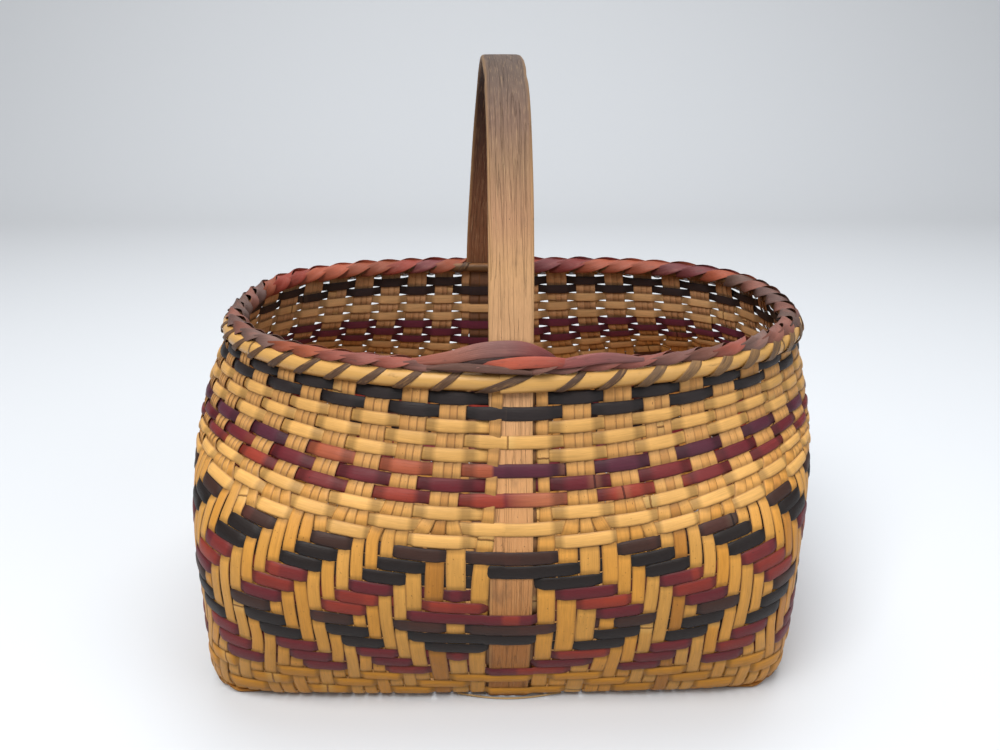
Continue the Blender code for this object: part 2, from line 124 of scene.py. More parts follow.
def wall_table(levels=86, samples=1040, corners=1440):
    """The wall's middle surface as a grid: one ring a level, even columns round each."""
    tables = (
        HALF_WIDTHS, STANDS_RIGHT, HALF_DEPTHS, SQUARENESS, BACK_LESS_DEEP, BACK_SQUARER, FRONT_LEG_RIGHT,
    )
    heights = np.linspace(0, RIM_HEIGHT, levels)
    turn = np.linspace(0, math.tau, corners + 1)
    across, along = np.sin(turn), -np.cos(turn)
    grid = np.zeros((levels, samples + 1, 3))
    column = np.linspace(0, COLUMNS, samples + 1)
    for k, share in enumerate(heights / RIM_HEIGHT):
        width, middle, depth, square, less_deep, squarer, leg_right = (eased(v, share) for v in tables)
        depth = depth - less_deep * (along > 0)
        power = 2 / (square + squarer * (along > 0))
        x = middle + width * np.sign(across) * np.abs(across) ** power
        y = depth * np.sign(along) * np.abs(along) ** power
        length = np.append(0, np.cumsum(np.hypot(np.diff(x), np.diff(y))))
        front = leg_right - middle
        back = length[-1] / 2 + BACK_LEG_LEFT + middle
        right = front + (back - front) * column / (COLUMNS / 2)
        left = back + (length[-1] - back + front) * (column - COLUMNS / 2) / (COLUMNS / 2)
        place = np.where(column <= COLUMNS / 2, right, left) % length[-1]
        grid[k, :, 0], grid[k, :, 1] = np.interp(place, length, x), np.interp(place, length, y)
        grid[k, :, 2] = heights[k]
    return grid


UPWARD = np.array((0, 0, 1.0))


def unit(vectors):
    """Each vector made one long."""
    return vectors / np.maximum(np.linalg.norm(vectors, axis=-1, keepdims=True), 1e-12)


def mixed(one, other, share):
    """One value at a share of 0, the other at 1."""
    return one * (1 - share) + other * share


WALL = wall_table()
WALL_ROUND = unit(np.roll(WALL[:, :-1], -1, axis=1) - np.roll(WALL[:, :-1], 1, axis=1))
WALL_ROUND = np.concatenate([WALL_ROUND, WALL_ROUND[:, :1]], axis=1)
WALL_UP = unit(np.gradient(WALL, axis=0))
PROFILE_HEIGHTS = np.linspace(0, RIM_HEIGHT, 61)
PROFILE_DEPTHS = eased(HALF_DEPTHS, PROFILE_HEIGHTS / RIM_HEIGHT)
PROFILE_LENGTHS = np.append(0, np.cumsum(np.hypot(np.diff(PROFILE_DEPTHS), np.diff(PROFILE_HEIGHTS))))
WALL_LENGTH = PROFILE_LENGTHS[-1]


def read_grid(grid, column, height):
    """A grid's values at any columns and heights."""
    down = np.clip(np.asarray(height, float) / RIM_HEIGHT, 0, 1) * (grid.shape[0] - 1)
    over = (np.asarray(column, float) % COLUMNS) / COLUMNS * (grid.shape[1] - 1)
    down, over = np.broadcast_arrays(down, over)
    low, near = (np.minimum(v.astype(int), n - 2) for v, n in zip((down, over), grid.shape))
    p, q = (down - low)[..., None], (over - near)[..., None]
    under = mixed(grid[low, near], grid[low, near + 1], q)
    above = mixed(grid[low + 1, near], grid[low + 1, near + 1], q)
    return mixed(under, above, p)


def on_wall(column, height, off=0.0):
    """Points of the wall, with the ways round it, up it and out from it."""
    height = np.asarray(height, float)
    point = read_grid(WALL, column, height)
    point[..., 2] = height
    round_it, up = unit(read_grid(WALL_ROUND, column, height)), unit(read_grid(WALL_UP, column, height))
    out = unit(np.cross(round_it, up))
    return point + out * np.asarray(off)[..., None], round_it, up, out


def height_of(climb):
    """The height over the floor at a length up the wall's slope."""
    return np.interp(climb, PROFILE_LENGTHS, PROFILE_HEIGHTS)


def sway(place, seed, period):
    """A slow wander between about -1 and 1, the same each time for one seed."""
    chance = np.random.default_rng(seed)
    total = np.zeros_like(np.asarray(place, float))
    waves = (1.0, 0.61, 0.37)
    for share in waves:
        total = total + share * np.sin(math.tau * (np.asarray(place) / (period * share) + chance.random()))
    return total / sum(waves)


def splint_at(number):
    """A splint's side, 1 right or -1 left, and its place counted from the front leg."""
    number %= SPLINTS
    if 2 <= number <= SPLINTS_A_SIDE + 1:
        return 1, number - 1
    if SPLINTS - SPLINTS_A_SIDE - 1 <= number <= SPLINTS - 2:
        return -1, SPLINTS - 1 - number
    return 0, 0 if number in (0, 1, SPLINTS - 1) else SPLINTS_A_SIDE + 1


BUNDLE_OF, COLUMNS_FROM_MIDDLE = [0, 0], [0, 0]
DRAWN_STEPS = {3: 0.54, 4: 0.40}
for bundle, size in enumerate(BUNDLE_SIZES, 1):
    BUNDLE_OF += [bundle] * size
    COLUMNS_FROM_MIDDLE += [(k - (size - 1) / 2) * DRAWN_STEPS[size] for k in range(size)]
BUNDLE_OF += [len(BUNDLE_SIZES) + 1] * 2
COLUMNS_FROM_MIDDLE += [0, 0]


def all_round(nearest):
    """Columns for every splint, from those of the splints between the front leg and mid-side."""
    half = SPLINTS // 2
    side = [nearest[k] if k <= half / 2 else COLUMNS / 2 - nearest[half - k] for k in range(half + 1)]
    return np.append(side, COLUMNS - np.array(side[-2::-1]))


FROM_LEG = np.arange(SPLINTS // 4 + 2)
SPREAD_AT = (0, 2, 5, 20, SPLINTS / 4)
STAND_BASE = all_round(np.interp(FROM_LEG, SPREAD_AT, (0, 2, 5.5, 19.0, COLUMNS / 4)))
STAND_LOW = all_round(np.interp(FROM_LEG, SPREAD_AT, (0, 2, 5.6, 17.7, COLUMNS / 4)))
STAND_HIGH = all_round([0, 1, 1.9] + [
    FIRST_BUNDLE + BUNDLE_STEP * (BUNDLE_OF[k - 1] - 1) + COLUMNS_FROM_MIDDLE[k - 1] for k in FROM_LEG[3:]
])


def smooth(value):
    """0 up to 0, 1 from 1 on and an even S between them."""
    value = np.clip(value, 0, 1)
    return value * value * (3 - 2 * value)


DRAWN_FROM_ROW = 14.8
DRAWN_OVER_ROWS = 3.2
SPREAD_OVER_ROWS = 6.0


def drawn_in(row):
    """0 where the splints stand evenly, 1 where they are drawn into bundles."""
    return smooth((row - DRAWN_FROM_ROW) / DRAWN_OVER_ROWS)


def stands(number, row):
    """The column where a splint stands at a height in rows."""
    low = STAND_BASE[number] + (STAND_LOW[number] - STAND_BASE[number]) * smooth(row / SPREAD_OVER_ROWS)
    return low + (STAND_HIGH[number] - low) * drawn_in(row)


RISE_OF_ROWS = (0.005, 0.0145, 0.0195, 0.0225, 0.023, 0.018, 0.0092, 0.0048, 0.0006)
RISE_REACH_LEFT = 25.0
RISE_REACH_RIGHT = 22.5
SIDE_SAG = 0.3


def climb_at(row, column):
    """The way up the wall to a height in rows; the rows sag in mid-wall and rise at corners."""
    column = np.asarray(column, float) % COLUMNS
    reach = np.where(column > COLUMNS / 2, RISE_REACH_LEFT, RISE_REACH_RIGHT)
    quarter = COLUMNS / 4
    from_leg = quarter - np.abs(column % (2 * quarter) - quarter)
    up = np.sin(math.pi / 2 * np.clip(from_leg / reach, 0, 1)) ** 2
    past = np.clip((from_leg - reach) / (quarter - reach), 0, 1)
    up = up - SIDE_SAG * np.sin(math.pi / 2 * past) ** 2
    return ROWS_START + ROW_PITCH * row + eased(RISE_OF_ROWS, np.asarray(row) / ROWS) * up


ROWS_OVER_LEG = (1, 3, 4, 8, 9, 10, 14, 15)
TWILL_REPEAT = 6
TWILL_FLOAT = (3, 4, 5)
FIRST_ROW_STEPS = (5, 1, 3)
TURNING_ROW = 9
RIGHT_SIDE_STEP = 4


def weft_outside(row, number):
    """Whether the weft of a row, counted from 1, passes outside a splint."""
    side, place = splint_at(number)
    if row > LOWER_ROWS:
        return (BUNDLE_OF[place] + row) % 2 == 1
    if side == 0:
        return row in ROWS_OVER_LEG
    step = place if place <= SPLINTS_A_SIDE / 2 else SPLINTS_A_SIDE + 1 - place
    step += RIGHT_SIDE_STEP if side > 0 else 0
    if row <= len(FIRST_ROW_STEPS):
        return (step + FIRST_ROW_STEPS[row - 1]) % TWILL_REPEAT in TWILL_FLOAT
    from_turn = abs(row - TURNING_ROW)
    if side < 0 and place == 1:
        return from_turn <= 2 or row == LOWER_ROWS
    return (step + from_turn) % TWILL_REPEAT in TWILL_FLOAT


OUTSIDE = np.array([[weft_outside(row, k) for k in range(SPLINTS)] for row in range(1, ROWS + 1)])
OUTSIDE = np.where(OUTSIDE, 1.0, -1.0)
CROSSING_STATIONS = np.array((-0.38, -0.13, 0.13, 0.38))
OFFSETS_AT_CHANGE = (0.34, 0.93, 0.93, 0.34)


def woven(states, closed):
    """Offsets from -1 to 1 at four stations a crossing, and which stations are tucked away."""
    before, after = np.roll(states, 1), np.roll(states, -1)
    if not closed:
        before[0], after[-1] = states[0], states[-1]
    comes, goes = before != states, after != states
    never = np.zeros_like(comes)
    changes = np.stack([comes, comes, goes, goes], axis=1)
    offsets = states[:, None] * np.where(changes, OFFSETS_AT_CHANGE, 1.0)
    return offsets.ravel(), np.stack([comes, never, never, goes], axis=1).ravel().astype(float)


def srgb(red, green, blue):
    """A colour read off a screen, 0 to 255, as the light that it stands for."""
    shares = np.array([red, green, blue]) / 255
    return np.where(shares <= 0.04045, shares / 12.92, ((shares + 0.055) / 1.055) ** 2.4)


CANE_SECTION = np.array([
    (-0.5, -0.30), (-0.46, 0.18), (-0.22, 0.46), (0.22, 0.46),
    (0.46, 0.18), (0.5, -0.30), (0.36, -0.5), (-0.36, -0.5),
])
PITH = np.array((0.90, 0.98, 1.55))


class Strips:
    """Strips of one section, gathered into one mesh that keeps each point's place and colour."""

    INNER_FACE = -0.2

    def __init__(self, section=CANE_SECTION):
        self.section = section
        self.points, self.faces, self.places, self.tints = [], [], [], []
        self.count = 0

    def add(self, path, across, out, width, thick, tint, closed=False, start=0.0, inside=(1, 1, 1)):
        """One strip along a path; start is its length in millimetres at the path's start."""
        n, m = len(path), len(self.section)
        if closed:
            ahead, behind = np.roll(path, -1, axis=0), np.roll(path, 1, axis=0)
        else:
            ahead = np.concatenate([path[1:], path[-1:]])
            behind = np.concatenate([path[:1], path[:-1]])
        along = unit(ahead - behind)
        across = unit(across - np.sum(across * along, axis=1, keepdims=True) * along)
        facing = unit(np.cross(along, across))
        facing *= np.sign(np.sum(facing * out, axis=1, keepdims=True))
        width = np.broadcast_to(width, n)[:, None, None]
        thick = np.broadcast_to(thick, n)[:, None, None]
        ring = (
            path[:, None]
            + across[:, None] * self.section[None, :, :1] * width
            + facing[:, None] * self.section[None, :, 1:] * thick
        )
        self.points.append(ring.reshape(-1, 3))
        if np.ndim(tint) < 3:
            by_face = np.where(self.section[:, 1:] < self.INNER_FACE, inside, 1.0)
            tint = np.broadcast_to(tint, (n, 3))[:, None] * by_face
        self.tints.append(np.broadcast_to(tint, (n, m, 3)).reshape(-1, 3))
        lengths = np.linalg.norm(np.roll(path, -1, axis=0) - path, axis=1)
        lengths = np.append(0, np.cumsum(lengths)) * 1000 + start
        spans = n if closed else n - 1
        ring_at, side_at = (v.ravel() for v in np.meshgrid(np.arange(spans), np.arange(m), indexing="ij"))
        corners = [(ring_at + i, side_at + k) for i, k in ((0, 0), (1, 0), (1, 1), (0, 1))]
        flip = np.dot(np.cross(along[0], across[0]), facing[0]) < 0
        corners = corners if flip else corners[::-1]
        self.faces.append(np.stack([i % n * m + k % m for i, k in corners], axis=1) + self.count)
        self.places.append(np.stack([
            np.stack([lengths[i], self.section[k % m, 0]], axis=1) for i, k in corners
        ], axis=1).reshape(-1, 2))
        self.count += n * m
        if not closed:
            for end, keeps_order in ((0, not flip), (n - 1, flip)):
                cap = np.arange(m) + end * m + self.count - n * m
                cap = cap if keeps_order else cap[::-1]
                for quad in ([k, k + 1, m - 2 - k, m - 1 - k] for k in range(m // 2 - 1)):
                    self.faces.append(cap[quad][None])
                    self.places.append(np.stack([np.full(4, lengths[end]), self.section[quad, 0]], axis=1))

    def piece(self, name, finish):
        """The gathered strips as one object of one finish."""
        mesh = bpy.data.meshes.new(name)
        faces = np.concatenate(self.faces)
        mesh.from_pydata(np.concatenate(self.points), [], faces.tolist())
        mesh.polygons.foreach_set("use_smooth", np.ones(len(faces), bool))
        layer = mesh.uv_layers.new(name="place")
        layer.data.foreach_set("uv", np.concatenate(self.places).astype(np.float32).ravel())
        tint = mesh.color_attributes.new("tint", "FLOAT_COLOR", "POINT")
        colours = np.concatenate(self.tints)
        colours = np.concatenate([colours, np.ones((len(colours), 1))], axis=1)
        tint.data.foreach_set("color", colours.astype(np.float32).ravel())
        mesh.set_sharp_from_angle(angle=math.radians(70))
        mesh.materials.append(finish)
        return new_object(name, mesh)


class Shade:
    """A socket of a finish's shader: sums on it add Math nodes, and node() adds any other."""

    def __init__(self, tree, socket=None):
        self.tree, self.socket = tree, socket

    def node(self, kind, settings=None, **sockets):
        """Any node, its sockets given by name, or by place as at0, at1 and so on."""
        made = self.tree.nodes.new("ShaderNode" + kind)
        for name, value in (settings or {}).items():
            setattr(made, name, value)
        live = [socket for socket in made.inputs if socket.enabled]
        for name, value in sockets.items():
            if name.startswith("at"):
                socket = live[int(name[2:])]
            else:
                socket = next(s for s in live if s.name == name.replace("_", " "))
            if isinstance(value, Shade):
                self.tree.links.new(value.socket, socket)
            else:
                socket.default_value = value
        return Shade(self.tree, next((s for s in made.outputs if s.enabled), None))

    def out(self, name):
        return Shade(self.tree, self.socket.node.outputs[name])

    def maths(self, operation, *values):
        sockets = {f"at{k}": value for k, value in enumerate(values)}
        return self.node("Math", {"operation": operation}, **sockets)

    def __add__(self, other): return self.maths("ADD", self, other)
    def __radd__(self, other): return self.maths("ADD", other, self)
    def __sub__(self, other): return self.maths("SUBTRACT", self, other)
    def __rsub__(self, other): return self.maths("SUBTRACT", other, self)
    def __mul__(self, other): return self.maths("MULTIPLY", self, other)
    def __rmul__(self, other): return self.maths("MULTIPLY", other, self)
    def __truediv__(self, other): return self.maths("DIVIDE", self, other)
    def __rtruediv__(self, other): return self.maths("DIVIDE", other, self)

    def step(self, low, high):
        """0 under low, 1 over high and smooth between them."""
        return self.node("MapRange", {"interpolation_type": "SMOOTHSTEP"}, at0=self, at1=low, at2=high)

    def mottle(self, shift, long, wide, detail):
        """Noise drawn out along a strip, in millimetres by a share of its width."""
        where = self.node("CombineXYZ", X=(self.along + shift) / long, Y=self.across / wide, Z=0.0)
        return self.node("TexNoise", Vector=where, Scale=1.0, Detail=detail, Roughness=0.6)

    def edge(self, start):
        """1 at a strip's edges, 0 inside a share of its half width."""
        return self.maths("ABSOLUTE", self.across).step(start, 0.5)

    def blend(self, share, one, other, way="MIX"):
        settings = {"data_type": "RGBA", "blend_type": way, "clamp_factor": True}
        return self.node("Mix", settings, Factor=share, A=one, B=other)

    def painted(self, colour, *layers):
        """A colour with others laid over it, each with its share."""
        for share, over in layers:
            colour = self.blend(share, colour, (*over, 1.0))
        return colour

    def lit(self, colour, light):
        """A colour made lighter or darker by a number."""
        grey = self.node("CombineXYZ", X=light, Y=light, Z=light)
        return self.blend(1.0, colour, grey, "MULTIPLY")


def new_finish(name):
    """An empty material that knows a strip's length, place across and own colour."""
    made = bpy.data.materials.new(name)
    made.use_nodes = True
    made.node_tree.nodes.clear()
    shade = Shade(made.node_tree)
    parts = shade.node("SeparateXYZ", Vector=shade.node("UVMap", {"uv_map": "place"}))
    shade.along, shade.across = parts.out("X"), parts.out("Y")
    return made, shade, shade.node("VertexColor", {"layer_name": "tint"})


def close_finish(shade, colour, roughness, height, depth):
    """Joins colour, roughness and relief of a depth in metres to a plain surface shader."""
    bump = shade.node("Bump", Height=height, Distance=depth, Strength=1.0)
    looks = {"Base_Color": colour, "Roughness": roughness, "Normal": bump, "Specular_IOR_Level": 0.32}
    shade.node("OutputMaterial", Surface=shade.node("BsdfPrincipled", **looks))


def cane_finish(name, speck_colour, node_colour, worn_colour, speck_share, polish, worn_share):
    """Split cane: long fibres, specks, a ring at each joint, darker edges and worn spots."""
    made, shade, tint = new_finish(name)
    fibre = shade.mottle(0, 11.0, 0.05, 3.0)
    patch = shade.mottle(0, 16.0, 0.8, 2.0)
    streak = shade.mottle(300, 45.0, 0.16, 1.0)
    speck = shade.mottle(700, 1.7, 0.16, 2.0).step(0.66 - speck_share, 0.74 - speck_share)
    joint_place = shade.maths("PINGPONG", shade.along + shade.mottle(0, 9.0, 0.8, 2.0), 150.0)
    joint = 1 - joint_place.step(0.15, 0.6)
    collar = (1 - joint_place.step(1.2, 4.5)) * (1 - joint)
    worn = shade.mottle(1500, 5.0, 0.3, 3.0).step(0.72 - worn_share, 0.80 - worn_share)
    colour = shade.painted(
        shade.lit(tint, 0.38 + fibre * 0.56 + patch * 0.42 + streak * 0.24),
        (shade.edge(0.36) * 0.5, node_colour),
        (worn * 0.8, worn_colour),
        (speck * 0.75, speck_colour),
        (collar * 0.25, worn_colour),
        (joint * 0.75, node_colour),
    )
    roughness = polish + fibre * 0.2 + worn * 0.15
    relief = fibre * 0.7 + patch * 0.6 + collar * 0.8 - joint
    close_finish(shade, colour, roughness, relief, 0.00022)
    return made


natural_cane = cane_finish(
    "natural cane", srgb(92, 58, 28), srgb(112, 74, 36), srgb(232, 196, 124), 0.0, 0.38, 0.0
)


def column_size(column, height):
    """How wide one column of the wall is, in metres."""
    ahead, behind = read_grid(WALL, column + 0.5, height), read_grid(WALL, column - 0.5, height)
    return np.linalg.norm(ahead - behind, axis=-1)


SPLINT_FILLS = 0.93
BEHIND_LEG_FILLS = 0.995
DRAWN_TILT = 0.17
ROWS_UNDER_HOOPS = (26.3, 27.2)
ENDS_UNDER_TOP = np.array((0.0060, 0.0006))
LEG_SPLINT_LEANS = 0.95
LEG_SPLINT_COMES_OUT = 0.0011


def wall_run(number, seed, inset=0.0):
    """One splint's stations up one wall, from the bend at the base to the rim."""
    number %= SPLINTS
    side, place = splint_at(number)
    offsets, tucked = woven(-OUTSIDE[:, number], False)
    rows = (np.arange(ROWS)[:, None] + 0.5 + CROSSING_STATIONS).ravel()
    column = stands(number, rows)
    climbs = climb_at(rows, column)
    keep = climbs > CORNER_REACH
    rows = np.append(rows[keep], ROWS_UNDER_HOOPS)
    climbs = np.append(climbs[keep], WALL_LENGTH - ENDS_UNDER_TOP)
    offsets, tucked = np.append(offsets[keep], [0, 0]), np.append(tucked[keep], [1, 1])
    column = np.append(column[keep], [column[-1]] * 2)
    off = offsets * np.where(offsets > 0, SPLINT_RISE, SPLINT_SINK) + inset
    column = column + 0.06 * sway(climbs, seed, 0.07)
    if side < 0 and place == 1:
        share = climbs / WALL_LENGTH
        column = column + LEG_SPLINT_LEANS * np.clip((share - 0.25) / 0.75, 0, 1)
        off = off + LEG_SPLINT_COMES_OUT * np.clip((share - 0.45) / 0.2, 0, 1)
    beside = (stands((number + 1) % SPLINTS, rows) - stands(number - 1, rows)) % COLUMNS / 2
    height = height_of(climbs)
    width = beside * column_size(column, height) * (SPLINT_FILLS if side else BEHIND_LEG_FILLS)
    drawn = drawn_in(rows) * abs(side)
    point, round_it, _, out = on_wall(column, height, off)
    round_it = round_it + out * (DRAWN_TILT * drawn)[:, None]
    return point, round_it, out, tucked, mixed(width, DRAWN_WIDTH, drawn), rows / ROWS


def base_run(start, end, crossings, states):
    """One splint's stations across the base, over and under the splints that cross it."""
    offsets, tucked = woven(states, False)
    where = crossings[:, None] + np.gradient(crossings)[:, None] * CROSSING_STATIONS
    where = np.clip(where.ravel(), 0.015, 0.985)
    point = start + (end - start) * where[:, None]
    point[:, 2] = BASE_HEIGHT + offsets * SPLINT_RISE
    return point, tucked, where


BEND_STEPS = 5


def bend(low, corner, high):
    """A rounded turn from the base up into the wall."""
    t = np.linspace(0, 1, BEND_STEPS + 2)[1:-1, None]
    return low * (1 - t) ** 2 + corner * 2 * t * (1 - t) + high * t * t


BASE_SIDE_REACH = 0.0985
PLACES = range(1, SPLINTS_A_SIDE + 1)
SIDE_PLACES = [p for p in PLACES if 0 < BUNDLE_OF[p] - FRONT_BUNDLES <= len(SIDE_SIZES)]


def base_point(number):
    """Where a splint leaves the base: side splints lie evenly between the long edges."""
    point = on_wall(stands(number, 0.0), 0.0)[0]
    place = splint_at(number)[1]
    if place in SIDE_PLACES:
        point[1] = BASE_SIDE_REACH * (2 * SIDE_PLACES.index(place) / (len(SIDE_PLACES) - 1) - 1)
        square = SQUARENESS[0]
        reach = HALF_WIDTHS[0] * (1 - abs(point[1] / HALF_DEPTHS[0]) ** square) ** (1 / square)
        point[0] = STANDS_RIGHT[0] + math.copysign(reach, point[0])
    point[2] = BASE_HEIGHT
    return point


def partner(number, across):
    """The splint place that a splint reaches on the wall opposite."""
    return (SPLINTS - number if across else SPLINTS // 2 - number) % SPLINTS


FRONT_PLACES = [p for p in PLACES if BUNDLE_OF[p] <= FRONT_BUNDLES]
FRONT_NUMBERS = [number % SPLINTS for number in range(-1 - FRONT_PLACES[-1], FRONT_PLACES[-1] + 2)]
ACROSS_LINES = [(base_point(SPLINTS - 1 - p), base_point(p + 1)) for p in SIDE_PLACES]
LENGTHWISE_LINES = [(base_point(n), base_point(partner(n, False))) for n in FRONT_NUMBERS]


def crossing_shares(start, end, lines):
    """How far along start to end each line crosses it, seen from above."""
    shares = []
    for low, high in lines:
        run, other, apart = end - start, high - low, low - start
        shares.append((apart[0] * other[1] - apart[1] * other[0]) / (run[0] * other[1] - run[1] * other[0]))
    return np.array(shares)


def base_states(index, count, lengthwise):
    """Which side of a three-over, three-under twill one splint takes at each crossing."""
    over = (index + np.arange(count)) % TWILL_REPEAT < TWILL_REPEAT / 2
    return np.where(over == lengthwise, 1.0, -1.0)


GOLDEN, PALE_GOLDEN, BROWNED = srgb(216, 149, 57), srgb(216, 160, 80), srgb(168, 108, 44)
TAN = srgb(204, 152, 94)
BROWNED_SHARE = 0.07
BEHIND_LEG_TINT = srgb(128, 90, 56)
SPLINT_SHADED = 0.32


def splint_tint(seed, up):
    """One splint's colour: golden low down and more tan toward the rim."""
    chance = np.random.default_rng(seed)
    mix = chance.random()
    golden = chance.random() < 1 - BROWNED_SHARE
    tint = mixed(GOLDEN, PALE_GOLDEN, mix) if golden else mixed(GOLDEN, BROWNED, 0.6)
    share = smooth((up - 0.45) / 0.4)[:, None] * 0.75
    return mixed(tint, TAN * (0.9 + 0.2 * mix), share) * (0.93 + 0.14 * chance.random())


def add_upright(strips, number, across, inset=0.0):
    """One whole splint, from rim to base to rim."""
    seed = 1000 + number * 7 + (5 if across else 0)
    opposite = partner(number, across)
    walls = wall_run(number, seed, inset), wall_run(opposite, seed + 3, inset)
    points, ways, outs, tucks, widths, ups = zip(*walls)
    start, end = base_point(number), base_point(opposite)
    lines = LENGTHWISE_LINES if across else ACROSS_LINES
    index = SIDE_PLACES.index(splint_at(number)[1]) if across else FRONT_NUMBERS.index(number)
    shares = crossing_shares(start, end, lines)
    met = np.argsort(shares)
    states = base_states(index, len(lines), not across)
    middle, tucked, where = base_run(start, end, shares[met], states[met])
    run = end - start
    reach = CORNER_REACH / np.linalg.norm(run)
    keep = (where > reach) & (where < 1 - reach)
    middle, tucked, where = middle[keep], tucked[keep], where[keep]
    sideways = unit(np.cross(run, UPWARD))
    sideways = sideways * np.sign(np.dot(sideways, ways[0][0]))
    turning = np.linspace(0, 1, BEND_STEPS + 2)[1:-1, None]
    flat = np.zeros(BEND_STEPS)

    def joined(pair, near_turn, base_part, far_turn):
        """Values from rim to rim: down one wall, over the base and up the other."""
        return np.concatenate([pair[0][::-1], near_turn, base_part, far_turn, pair[1]])

    def turned(near, base_way, far):
        """Ways from rim to rim, which turn evenly at both bends."""
        near_turn, far_turn = mixed(near[0], base_way, turning), mixed(base_way, far[0], turning)
        return joined((near, far), near_turn, np.tile(base_way, (len(middle), 1)), far_turn)

    near_bend, far_bend = bend(points[0][0], start, middle[0]), bend(middle[-1], end, points[1][0])
    path = joined(points, near_bend, middle, far_bend)
    sides = turned(ways[0], sideways, -ways[1])
    facing = turned(outs[0], -UPWARD, outs[1])
    hidden = joined(tucks, flat, tucked, flat)
    near_width, far_width = widths[0][0], widths[1][0]
    base_width = near_width + (far_width - near_width) * where
    width = joined(widths, near_width + flat, base_width, far_width + flat)
    up = joined(ups, flat, where * 0, flat)
    chance = np.random.default_rng(seed + 11)
    width = width * (0.96 + 0.06 * chance.random()) + 0.00014 * sway(np.arange(len(path)), seed + 2, 60)
    tint = splint_tint(seed, up) if splint_at(number)[0] else BEHIND_LEG_TINT
    # Painted shade: each splint's colour is darker where it dives under a crossing strip.
    tint = tint * (1 - SPLINT_SHADED * hidden[:, None])
    strips.add(path, sides, facing, width, SPLINT_THICK, tint, start=chance.random() * 9000, inside=PITH)


BEHIND_LEG_INSET = -0.00115


def upright_piece(name, numbers, across, inset=0.0):
    """The splints of one bundle as one piece."""
    strips = Strips()
    for number in numbers:
        add_upright(strips, number % SPLINTS, across, inset)
    piece = strips.piece(name + "_splints", natural_cane)
    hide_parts(name)
    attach(piece, "root")


for bundle in range(1, FRONT_BUNDLES + 1):
    places = [p for p in FRONT_PLACES if BUNDLE_OF[p] == bundle]
    upright_piece(f"stake_right_{bundle}", [p + 1 for p in places], False)
    upright_piece(f"stake_left_{bundle}", [-1 - p for p in places], False)
for bundle in range(1, len(SIDE_SIZES) + 1):
    places = [p for p in SIDE_PLACES if BUNDLE_OF[p] == bundle + FRONT_BUNDLES]
    upright_piece(f"stake_across_{bundle:02d}", [p + 1 for p in places], True)
upright_piece("leg_splint_right", [2], False)
upright_piece("leg_splint_left", [-2], False)
upright_piece("stake_behind_handle", [-1, 0, 1], False, BEHIND_LEG_INSET)

# Wefts. Twenty-six cane splints run round the wall, one a row, natural yellow or dyed in
# bands, and rise at its corners. The lower rows are a three-by-three twill that turns back
# at the ninth row; the upper rows pass whole bundles, over one, under one.
WEFT_SECTION = np.array([
    (-0.5, -0.36), (-0.455, 0.0), (-0.32, 0.30), (-0.11, 0.47), (0.11, 0.47),
    (0.32, 0.30), (0.455, 0.0), (0.5, -0.36), (0.36, -0.5), (-0.36, -0.5),
])
WEFT_THICK = 0.00100
WEFT_RISE_LOW = 0.00072
WEFT_RISE_HIGH = 0.00105
WEFT_OUT_OF_LEG = 0.00118
WEFT_IN_OF_LEG = 0.00196
NATURAL = srgb(207, 143, 48)
PALE = srgb(224, 172, 98)
BURGUNDY = srgb(102, 30, 38)
PLUM = srgb(84, 34, 50)
RUST = srgb(160, 62, 38)
BLACK = srgb(26, 16, 13)
BROWN = srgb(58, 34, 26)
BLUE_BLACK = srgb(38, 30, 30)
ORANGE = srgb(184, 108, 74)
LIGHT_RUST = srgb(164, 84, 56)
RED_BROWN = srgb(96, 46, 38)
FLOAT_STEP = 2.42
WEFT_SHADED = 0.42
DYED_PITH = np.array((1.60, 1.60, 1.80))
ROW_DYES = (
    [NATURAL] * 3
    + [BURGUNDY, BURGUNDY, srgb(108, 32, 38), BLACK, BLACK, BROWN]
    + [BURGUNDY, srgb(136, 48, 38), BURGUNDY, BLACK, BLACK, BROWN]
    + [PALE] * 3
    + [srgb(120, 42, 42), BURGUNDY, PLUM]
    + [PALE] * 3
    + [BLUE_BLACK] * 2
)


def weft_dye(row, column):
    """The dye along one weft, which took unevenly and gives way to other splints in places."""
    dye = ROW_DYES[row - 1]
    step = BUNDLE_STEP if row > LOWER_ROWS else FLOAT_STEP
    float_middle = np.round((column - FIRST_BUNDLE) / step) * step
    patchy = 0.5 + 0.5 * sway(float_middle * 0.85 + column * 0.15, 400 + row, 17)[:, None]
    front = ((column + COLUMNS / 2) % COLUMNS - COLUMNS / 2)[:, None]
    if row == 19:
        dye = mixed(dye, ORANGE, np.clip(1 - np.abs(front - 1.9) / 2.2, 0, 1) ** 0.5)
        dye = mixed(dye, RUST, (patchy > 0.62) * 0.6)
    if row == 21:
        dye = mixed(dye, LIGHT_RUST, ((front < -1.2) & (front > -14)) * (0.5 + 0.5 * (patchy > 0.35)))
    if row in (4, 5, 6, 10, 11, 12, 20):
        dye = mixed(dye, RUST, np.clip((patchy - 0.55) * 3, 0, 1) * 0.55)
    if row in (9, 15):
        dye = mixed(dye, RED_BROWN, np.clip((patchy - 0.6) * 3, 0, 1) * 0.35)
    if row in (19, 20, 21):
        dye = mixed(dye, PLUM, smooth((np.abs(front) - 27) / 8))
    return dye * (0.90 + 0.20 * patchy)


natural_weft = cane_finish(
    "natural weft", srgb(120, 78, 38), srgb(128, 84, 42), srgb(236, 200, 128), -0.05, 0.40, -0.02
)
dyed_weft = cane_finish(
    "dyed weft", srgb(30, 22, 22), srgb(60, 34, 30), srgb(170, 120, 84), -0.02, 0.40, -0.045
)
dark_weft = cane_finish(
    "dark weft", srgb(20, 17, 18), srgb(30, 24, 24), srgb(112, 88, 72), -0.02, 0.42, -0.055
)


